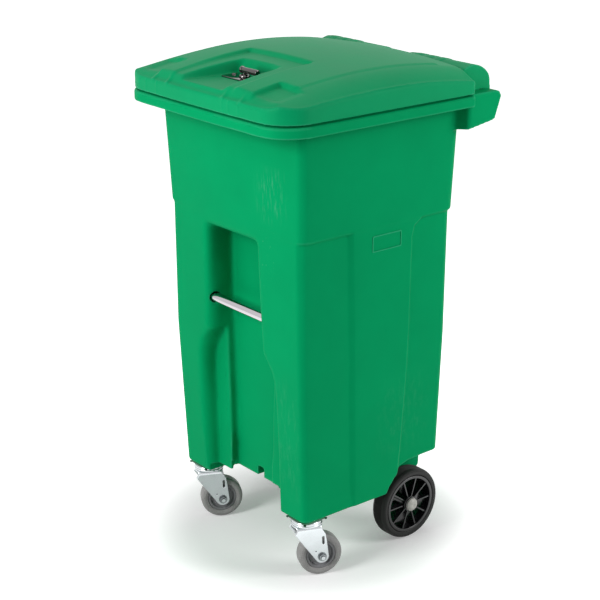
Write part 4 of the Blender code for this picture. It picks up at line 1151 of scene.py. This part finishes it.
# %% Lid grid
GRID_STEP = 0.0035
AT_BORDER = 0.0001


def lid_rows():
    radius = LID_CORNER - LID_INSET
    centre = LID_FRONT + LID_CORNER
    corner_rows = [centre - radius * math.cos(math.radians(6 * i)) for i in range(15)]
    straight = LID_REAR - LID_INSET - centre
    count = int(straight / GRID_STEP)
    return corner_rows + [centre + straight * i / count for i in range(count + 1)]


def row_half(y):
    """Half the length of one row of the grid."""
    radius = LID_CORNER - LID_INSET
    drop = max(0.0, LID_FRONT + LID_CORNER - y)
    return LID_HALF - LID_CORNER + math.sqrt(max(0.0, radius**2 - drop**2))


def lid_bow(x, y):
    """How far the lid's front edge bows out."""
    straight = LID_HALF - LID_CORNER
    return LID_BOW * (1 - min(1.0, abs(x) / straight) ** 2) * (1 - smooth_step(y, -0.266, -0.21))


def outward(x, y):
    """The direction out of the lid at a point of its border."""
    centre_x = LID_HALF - LID_CORNER
    centre_y = LID_FRONT + LID_CORNER
    side = 1 if x > 0 else -1
    if y < centre_y and abs(x) > centre_x - AT_BORDER:
        return Vector((side * (abs(x) - centre_x), y - centre_y)).normalized()
    if y > LID_REAR - LID_INSET - AT_BORDER:
        at_corner = abs(x) > LID_HALF - LID_INSET - AT_BORDER
        return Vector((side * 0.85, 0.85)) if at_corner else Vector((0.0, 1.0))
    if y < LID_FRONT + LID_INSET + AT_BORDER:
        return Vector((0.0, -1.0))
    return Vector((side, 0.0))


print("lid grid of", len(lid_rows()), "rows")

# %% [markdown]
# Four more rings of points make the skirt. Three carry the edge round, each a little further
# out and lower than the last, and the fourth goes straight down. A Solidify modifier gives the
# sheet its thickness, inwards only.

# %% Lid shell
SKIRT_RINGS = (  # how far out, how far below the edge; the last goes down to the lid's bottom
    (0.0030, 0.0007), (0.0050, 0.0027), (LID_INSET, 0.0062), (LID_INSET, None),
)


def lid_shell():
    columns = 2 * int((LID_HALF - LID_INSET) / GRID_STEP)
    bm = bmesh.new()
    grid = []
    flat_places = {}
    for y in lid_rows():
        half = row_half(y)
        row = []
        for i in range(columns + 1):
            x = half * (2 * i / columns - 1)
            vert = bm.verts.new((x, y - lid_bow(x, y), lid_height(x, y)))
            flat_places[vert] = (x, y)
            row.append(vert)
        grid.append(row)
    for low, high in zip(grid, grid[1:]):
        for a, b, c, d in zip(low, low[1:], high[1:], high):
            bm.faces.new((a, b, c, d))
    border = grid[0] + [row[-1] for row in grid[1:]] + grid[-1][::-1][1:]
    border += [row[0] for row in reversed(grid[1:-1])]
    directions = [outward(*flat_places[vert]) for vert in border]
    last = border
    for reach, drop in SKIRT_RINGS:
        ring = []
        for vert, direction in zip(border, directions):
            z = LID_BOTTOM if drop is None else vert.co.z - drop
            ring.append(bm.verts.new((
                vert.co.x + direction.x * reach, vert.co.y + direction.y * reach, z,
            )))
        for i in range(len(border)):
            j = (i + 1) % len(border)
            bm.faces.new((last[i], ring[i], ring[j], last[j]))
        last = ring
    lid = add_object("lid_moulding", bm)
    shell = lid.modifiers.new("thickness", "SOLIDIFY")
    shell.thickness = LID_THICK
    shell.offset = -1.0
    return settle(lid)


# %% [markdown]
# Behind the lid two broad lugs hook round the grip bar, and three raised ripples cross each
# lug. A lug is its side outline given width, and a ripple is the same outline grown by a
# millimetre and a half over a short width.

# %% Lid moulding
MOULD_LINES = (-0.166, -0.130, 0.078, 0.096, 0.124)
LUG_IN = 0.040
LUG_OUT = 0.215
LUG_RADIUS = 0.0255
RIPPLE_STARTS = {1: 0.067, -1: -0.194}
RIPPLE_STEP = 0.0305
RIPPLE_HALF = 0.0095
SPINDLE_RADIUS = 0.0042
LID_CELL = 0.0018


def lug_outline(grow=0.0):
    bore = GRIP_RADIUS + 0.0015
    hook = arc(HINGE_Y, HINGE_Z, bore, -35, 205, 24)
    outside = [
        (0.190, 0.968), (0.1995, 0.9832), (0.2224, 0.9893), (0.240, 0.9862),
        (0.254, 0.9794), (0.264, 0.971), (0.270, 0.9615), (0.2725, 0.9384),
    ]
    tail = arc(HINGE_Y, HINGE_Z, LUG_RADIUS, 0, -35, 6)
    front = arc(HINGE_Y, HINGE_Z, LUG_RADIUS, 205, 158, 6) + [(0.2205, 0.945), (0.205, 0.957)]
    middle = Vector((HINGE_Y, HINGE_Z))
    grown = []
    for point in outside:
        away = (Vector(point) - middle).normalized() * grow
        grown.append((point[0] + away.x, point[1] + away.y))
    return eased(grown, 0.006, closed=False) + tail + hook + front + [(0.192, 0.957)]


def make_lid():
    lid = lid_shell()
    lugs = []
    for sign, start in RIPPLE_STARTS.items():
        lugs.append(slab("lug", lug_outline(), "YZ", *span(sign, LUG_IN, LUG_OUT)))
        for number in range(3):
            low = start + number * RIPPLE_STEP - RIPPLE_HALF
            lugs.append(slab("ripple", lug_outline(0.0015), "YZ", low, low + 2 * RIPPLE_HALF))
    for x in MOULD_LINES:
        skirt = LID_FRONT - lid_bow(x, LID_FRONT) - 0.0004
        low, high = (x - 0.0013, skirt, 0.9425), (x + 0.0013, skirt + 0.003, 0.966)
        lugs.append(box("mould_line", low, high))
    combine(lid, lugs, "UNION")
    hole = rod("spindle_hole", SPINDLE_RADIUS + 0.0008, (0, LATCH_Y, 0.96), (0, LATCH_Y, 0.99))
    combine(lid, [hole])
    soften(lid, LID_CELL, rounds=4, keep=0.30)
    dress(lid, lid_finish, "lid", "lid", angle=60)


make_lid()

# %% [markdown]
# The latch sits in the lid's pocket: a plated plate with rounded ends, a bright collar, and a
# chromed lever that lies across it. The lever turns with its spindle, so it rides on the
# latch's own body, while the plate, the collar and the screws ride on the lid.

# %% Latch plate
GAP = 0.0003
PLATE_LOW = POCKET_FLOOR + GAP
PLATE_TOP = PLATE_LOW + 0.002
LATCH_BORE = SPINDLE_RADIUS + GAP
LATCH_PLATE = (0.042, 0.025, 0.005)  # half length, half width, corner radius


def rounded_box(x, y, half_x, half_y, radius):
    """The outline of a box seen from above, with round corners."""
    ring = []
    for a, b, start in ((1, -1, -90), (1, 1, 0), (-1, 1, 90), (-1, -1, 180)):
        centre = (x + a * (half_x - radius), y + b * (half_y - radius))
        ring += arc(*centre, radius, start, start + 90, 8)
    return ring


def make_latch_plate():
    outline = rounded_box(0.0, LATCH_Y, *LATCH_PLATE)
    plate = slab("latch_base", outline, "XY", PLATE_LOW, PLATE_TOP)
    bevel = plate.modifiers.new("pressed edge", "BEVEL")
    bevel.width = 0.0007
    bevel.segments = 3
    settle(plate)
    combine(plate, [rod("plate_hole", LATCH_BORE, (0, LATCH_Y, 0.97), (0, LATCH_Y, 0.99))])
    dress(plate, chrome_dark_reflection_finish, "lid", "latch_plate")


make_latch_plate()

# %% [markdown]
# Collar and lever are lathe work. The lever is one rounded bar with a thicker ring at its
# short end, and a neck that goes down into the collar. All three are joined, because on the
# real latch they are one casting.

# %% Latch collar and lever
COLLAR_LOW = PLATE_TOP + GAP
COLLAR_HEIGHT = 0.0048
NECK_LOW = COLLAR_LOW + COLLAR_HEIGHT + GAP
NECK_RADIUS = 0.0048
LEVER_Z = 0.9935
LEVER_TIP = 0.040
LEVER_END = -0.0085
LEVER_RADIUS = 0.0056
LEVER_RING = (-0.0040, 0.0068)


def lever_piece(name, radius, near, far, ease):
    """A round bar with eased ends, along X through the lever's middle."""
    profile = eased([(0.0, far), (radius, far), (radius, near), (0.0, near)], ease, closed=False)
    return turned(name, profile, (0, LATCH_Y, LEVER_Z), (1, 0, 0))


def make_latch_lever():
    profile = [
        (LATCH_BORE, COLLAR_HEIGHT), (0.0085, COLLAR_HEIGHT), (0.0105, 0.0030), (0.0112, 0.0),
        (LATCH_BORE, 0.0),
    ]
    collar = turned("latch_ring", eased(profile, 0.0012), (0, LATCH_Y, COLLAR_LOW), (0, 0, 1))
    dress(collar, chrome_dark_reflection_finish, "lid", "latch_collar")
    lever = lever_piece("latch_handle", LEVER_RADIUS, LEVER_END, LEVER_TIP, 0.0018)
    ring = lever_piece("lever_ring", LEVER_RING[1], LEVER_END, LEVER_RING[0], 0.001)
    neck = rod("lever_neck", NECK_RADIUS, (0, LATCH_Y, NECK_LOW), (0, LATCH_Y, LEVER_Z))
    combine(lever, [ring, neck], "UNION")
    dress(lever, chrome_dark_reflection_finish, "latch", "latch_lever")


make_latch_lever()

# %% [markdown]
# The lift bar is a plain steel rod across the front recess, with a dark cap pressed on each
# end inside the wall. A lathe profile with rounded corners gives the rod its softened ends.

# %% Lift bar
BAR_HALF = 0.106


def make_lift_bar():
    profile = [(0.0, BAR_HALF), (BAR_RADIUS, BAR_HALF), (BAR_RADIUS, -BAR_HALF), (0.0, -BAR_HALF)]
    bar = turned("lift_rod", eased(profile, 0.001, closed=False), (0, BAR_Y, BAR_Z), (1, 0, 0))
    dress(bar, bar_finish, "lift_bar", "lift_bar")


make_lift_bar()

# %% [markdown]
# A rear wheel is a solid rubber tyre on a spoked plastic hub, kept on the axle by a pale
# pressed cap. Fine grooves run round the tread. They are cut into the profile before it is
# turned, so they are real shape and catch the light from any side.

# %% Rear tyres
WHEEL_IN = 0.1454
WHEEL_OUT = 0.1834
WHEEL_MIDDLE = (WHEEL_IN + WHEEL_OUT) / 2
WHEEL_HALF = (WHEEL_OUT - WHEEL_IN) / 2
TYRE_BORE = 0.0620
TREAD_REACH = WHEEL_HALF - 0.0085
GROOVES = 7
GROOVE_DEPTH = 0.0012
GROOVE_SPREAD = 0.86  # share of the tread that the grooves reach over
SIDEWALL = (  # radius, depth below the wheel's outer face
    (TYRE_BORE + GAP, 0.003), (0.0645, 0.0006), (0.0690, 0.0), (0.0712, 0.0004), (0.0716, 0.0012),
    (0.0724, 0.0012), (0.0732, 0.0018), (0.0737, 0.0030), (0.0743, 0.0030), (0.0750, 0.0045),
    (0.0758, 0.0066), (WHEEL_RADIUS, 0.0085),
)


def mirrored(half):
    """A profile made of its upper half and the same points below zero."""
    return half + [(radius, -height) for radius, height in reversed(half)]


def tyre_profile():
    bottom = WHEEL_RADIUS - GROOVE_DEPTH
    tread = []
    for number in range(GROOVES):
        middle = TREAD_REACH * (1 - 2 * number / (GROOVES - 1)) * GROOVE_SPREAD
        tread += [
            (WHEEL_RADIUS, middle + 0.0012), (bottom, middle + 0.0007),
            (bottom, middle - 0.0007), (WHEEL_RADIUS, middle - 0.0012),
        ]
    walls = mirrored([(radius, WHEEL_HALF - depth) for radius, depth in SIDEWALL])
    return walls[:len(SIDEWALL)] + tread + walls[len(SIDEWALL):]


def wheel_place(sign):
    """The middle of a rear wheel and the direction that its outer face looks in."""
    return Vector((sign * WHEEL_MIDDLE, AXLE_Y, WHEEL_RADIUS)), (sign, 0, 0)


for side, sign in SIDES:
    tyre = turned(f"tyre_{side}", tyre_profile(), *wheel_place(sign), steps=160)
    dress(tyre, tyre_finish, f"rear_wheel_{side}", f"rear_tyre_{side}")

# %% [markdown]
# The hub is a ring, a boss and ten thin spokes between them. Ring and boss are turned, and the
# spoke is one slab that is turned to each of its ten places. The axle cap is a shallow dome
# that stays on the axle, so it rides on the tub and doesn't spin with the wheel.

# %% Rear hubs and axle caps
SPOKES = 10
SPOKE_BACK = -WHEEL_HALF * 0.72
SPOKE_FACE = WHEEL_HALF * 0.80
SPOKE_OUTLINE = eased(
    [(-0.0010, 0.0145), (0.0010, 0.0145), (0.0016, 0.0560), (-0.0016, 0.0560)], 0.0004,
)
HUB_FACE = WHEEL_HALF - 0.001
HUB_RING = [
    (TYRE_BORE, HUB_FACE), (TYRE_BORE, -HUB_FACE), (0.0558, -HUB_FACE), (0.0535, 0.0),
    (0.0558, HUB_FACE),
]
BOSS_FACE = WHEEL_HALF - 0.0015
BOSS_BACK = 0.0005 - WHEEL_HALF
BOSS_BORE = AXLE_RADIUS + 0.0004
BOSS = [(BOSS_BORE, BOSS_FACE), (0.0160, BOSS_FACE), (0.0175, BOSS_BACK), (BOSS_BORE, BOSS_BACK)]
CAP_BORE = AXLE_RADIUS + GAP
CAP = [
    (0.0, 0.0074), (0.0030, 0.0076), (0.0048, 0.0086), (0.0070, 0.0084), (0.0110, 0.0066),
    (0.0136, 0.0038), (0.0140, 0.0), (CAP_BORE, 0.0), (CAP_BORE, 0.0060), (0.0, 0.0060),
]


def make_spoke(number, sign, centre):
    turn = Matrix.Rotation(math.radians(360 / SPOKES * (number + 0.5)), 4, "X")
    spoke = slab("spoke", SPOKE_OUTLINE, "YZ", SPOKE_BACK, SPOKE_FACE)
    spoke.data.transform(Matrix.Translation(centre) @ Matrix.Diagonal((sign, 1, 1, 1)) @ turn)
    if sign < 0:
        spoke.data.flip_normals()
    return spoke


for side, sign in SIDES:
    centre, axis = wheel_place(sign)
    hub = turned(f"hub_{side}", eased(HUB_RING, 0.0014), centre, axis, steps=120)
    boss = turned(f"boss_{side}", eased(BOSS, 0.001), centre, axis)
    combine(hub, [boss] + [make_spoke(number, sign, centre) for number in range(SPOKES)], "UNION")
    dress(hub, hub_finish, f"rear_wheel_{side}", f"rear_hub_{side}")
    cap_place = centre + Vector(axis) * (BOSS_FACE + 0.0021)
    dress(turned(f"hub_cap_{side}", CAP, cap_place, axis), cap_finish, "tub", f"axle_cap_{side}")

# %% [markdown]
# Each caster hangs from a plate under a front corner. A pressed steel fork turns on a ring of
# balls and carries a small grey wheel behind its swivel, so that the wheel trails. The fork
# is made upright about its own swivel and turned as a whole, which keeps its sizes readable.

# %% Caster fork
CASTER_X = 0.1637
CASTER_Y = -0.146
CASTER_TRAIL = 0.026
CASTER_RADIUS = 0.04445
CASTER_MIDDLE = (0, CASTER_TRAIL, CASTER_RADIUS)
FORK_IN = 0.0185
FORK_OUT = 0.0215
FORK_CELL = 0.0007
PIN_BORE = 0.0053
BOLT_BORE = 0.0043
RACE_TOP = TUB_BOTTOM - 0.0036
RACE_LOW = RACE_TOP - 0.0118
CROWN_TOP = RACE_LOW - GAP
CROWN_LOW = CROWN_TOP - 0.003
TIP_RADIUS = 0.0142
FORK_PLAN = [  # radius about the swivel, height
    (0.0, 0.130), (0.0298, 0.130), (0.0302, CROWN_TOP), (0.0318, 0.1085), (0.0335, 0.104),
    (0.0365, 0.098), (0.0440, 0.086), (0.0600, 0.065), (0.0800, 0.030), (0.0800, 0.0), (0.0, 0.0),
]
FORK_CROWN = [
    (0.0361, 0.0758), (0.0325, 0.098), (0.031, CROWN_TOP), (-0.030, CROWN_TOP), (-0.0335, 0.104),
]


def fork_side():
    tip = arc(CASTER_TRAIL, CASTER_RADIUS, TIP_RADIUS, 215, 355, 20)
    return tip + eased(FORK_CROWN, 0.003, closed=False)


def fork_front(half, top, radius):
    half_outline = [(half, 0.01)] + arc(half - radius, top - radius, radius, 0, 90, 10)
    return [(-a, b) for a, b in half_outline] + half_outline[::-1]


def caster_fork(name):
    fork = slab(name, fork_side(), "YZ", -0.03, 0.03)
    front = slab("fork_shape", fork_front(FORK_OUT, CROWN_TOP, 0.009), "XZ", -0.06, 0.06)
    combine(fork, [front], "INTERSECT")
    combine(fork, [turned("fork_plan", FORK_PLAN, (0, 0, 0), (0, 0, 1))], "INTERSECT")
    slot = arc(0.0281, 0.0870, 0.0023, 0, 180, 8) + arc(0.0285, 0.0740, 0.0023, 180, 360, 8)
    combine(fork, [
        slab("fork_gap", fork_front(FORK_IN, CROWN_LOW, 0.006), "XZ", -0.07, 0.07),
        rod("pin_hole", PIN_BORE, (0, 0, 0.09), (0, 0, 0.13)),
        cross_rod("bolt_hole", BOLT_BORE, 0.03, CASTER_TRAIL, CASTER_RADIUS),
        slab("fork_slot", slot, "YZ", -0.05, 0.05),
        cross_rod("small_hole", 0.0013, 0.05, 0.0132, 0.0572, sides=24),
    ])
    return soften(fork, FORK_CELL, rounds=3, keep=0.3)


print("fork from", round(CROWN_TOP, 4), "m down to", round(CASTER_RADIUS - TIP_RADIUS, 4), "m")

# %% [markdown]
# The raceway is a stack of two rolled rings, and the wheel is a moulded centre inside a grey
# tread. All of them are lathe work. The nut has six sides: it is a short thick rod, joined to
# the thin washer behind it.


# %% Caster pieces
def caster_raceway(name):
    height = RACE_TOP - RACE_LOW
    race = [
        (PIN_BORE, height), (0.0235, height), (0.0280, height * 0.93), (0.0304, height * 0.70),
        (0.0306, height * 0.52), (0.0299, height * 0.44), (0.0314, height * 0.34),
        (0.0315, height * 0.14), (0.0300, 0.0), (PIN_BORE, 0.0),
    ]
    return turned(name, eased(race, 0.0022, steps=6), (0, 0, RACE_LOW), (0, 0, 1))


def caster_centre(name):
    core = mirrored([
        (0.0064, 0.0172), (0.0105, 0.0172), (0.0118, 0.0080), (0.0235, 0.0068),
        (0.0258, 0.0122), (0.0300, 0.0126),
    ])
    return turned(name, eased(core, 0.0007), CASTER_MIDDLE, (1, 0, 0))


def caster_tread(name):
    tread = mirrored([
        (0.0303, 0.0122), (0.0318, 0.0138), (0.0375, 0.0150), (0.0420, 0.0134),
        (CASTER_RADIUS, 0.0095),
    ])
    return turned(name, eased(tread, 0.0012), CASTER_MIDDLE, (1, 0, 0), steps=128)


def bolt_rod(name, radius, start, end, sides=48):
    """A rod on the caster wheel's axis."""
    return rod(name, radius, (start, *CASTER_MIDDLE[1:]), (end, *CASTER_MIDDLE[1:]), sides)


def caster_nut(name):
    start = FORK_OUT + GAP
    nut = bolt_rod(name, 0.0078, start + 0.0010, start + 0.0052, sides=6)
    combine(nut, [bolt_rod("nut_washer", 0.0092, start, start + 0.0011)], "UNION")
    return combine(nut, [bolt_rod("nut_hole", BOLT_BORE, 0.015, 0.04)])


# %% [markdown]
# A square plate with round corners lies between the raceway and the foot, held by four small
# bolts from below. The heads are little domes, turned in one go from a profile.

# %% Caster plates and bolts
SWIVEL_PLATE = (0.0295, 0.0295, 0.011)  # half length, half width, corner radius
SWIVEL_PLATE_THICK = 0.003
BOLT_SPREAD = 0.0268
BOLT_HEAD = [(0.0, 0.0028), (0.0024, 0.0026), (0.0032, 0.0), (0.0, 0.0)]


def make_caster_plate(side, sign):
    x = sign * CASTER_X
    low = RACE_TOP + GAP
    outline = rounded_box(x, CASTER_Y, *SWIVEL_PLATE)
    plate = slab(f"swivel_plate_{side}", outline, "XY", low, low + SWIVEL_PLATE_THICK)
    combine(plate, [rod("pin_hole", PIN_BORE, (x, CASTER_Y, 0.10), (x, CASTER_Y, 0.14))])
    # The dark green of the plate and its bolts is painted shade and a painted green reflection.
    dress(plate, plate_painted_shade_finish, "tub", f"caster_plate_{side}", slot="zinc_steel")
    head = eased(BOLT_HEAD, 0.0005, closed=False)
    corners = [(a, b) for a in (-1, 1) for b in (-1, 1)]
    for number, (a, b) in enumerate(corners, start=1):
        place = (x + a * BOLT_SPREAD, CASTER_Y + b * BOLT_SPREAD, low - GAP)
        bolt = turned(f"plate_screw_{side}_{number}", head, place, (0, 0, -1), steps=32)
        dress(bolt, plate_painted_shade_finish, "tub", f"plate_bolt_{side}_{number}", slot="zinc_steel")


# %% [markdown]
# Each caster's pieces are made upright about their own swivel. One turn and one move then
# take them all to their corner, and each rides on the body that it really moves with: the
# fork swivels, the wheel rolls in it, and the plate stays with the tub.

# %% Casters
CASTER_TURN = {"right": -22.0, "left": -27.0}


def make_caster(side, sign):
    turn = Matrix.Rotation(math.radians(CASTER_TURN[side]), 4, "Z")
    place = Matrix.Translation((sign * CASTER_X, CASTER_Y, 0)) @ turn
    swivel, roller = f"caster_{side}", f"caster_roller_{side}"
    pieces = (
        (caster_fork(f"fork_{side}"), zinc_finish, swivel, "caster_fork", None),
        (caster_raceway(f"ball_race_{side}"), zinc_finish, swivel, "caster_raceway", None),
        (caster_centre(f"wheel_centre_{side}"), caster_finish, roller, "caster_wheel", None),
        (caster_tread(f"wheel_tread_{side}"), tread_finish, roller, "caster_tread", None),
        (caster_nut(f"wheel_nut_{side}"), nut_finish, swivel, "caster_nut", "zinc_steel"),
    )
    for obj, finish, body, node, slot in pieces:
        obj.data.transform(place)
        dress(obj, finish, body, f"{node}_{side}", slot=slot)
    make_caster_plate(side, sign)


for side, sign in SIDES:
    make_caster(side, sign)

# %% [markdown]
# The small and hidden pieces keep the solids of the frame, because their shapes are already
# right. They only need a finish. Each finish is picked by the name of the solid.

# %% Finishes of the other pieces
FINISH_BY_NAME = (
    ("axle_spacer", hub_finish), ("lift_bar_cap", hub_finish), ("rear_axle", axle_finish),
    ("latch_", chrome_dark_reflection_finish),
)


def finish_for(name):
    """The finish that the name calls for, or plain zinc."""
    return next((finish for start, finish in FINISH_BY_NAME if name.startswith(start)), zinc_finish)


for name, node in frame["nodes"].items():
    shade(node, finish_for(name), angle=30)
print("solids of the frame finished:", len(frame["nodes"]))
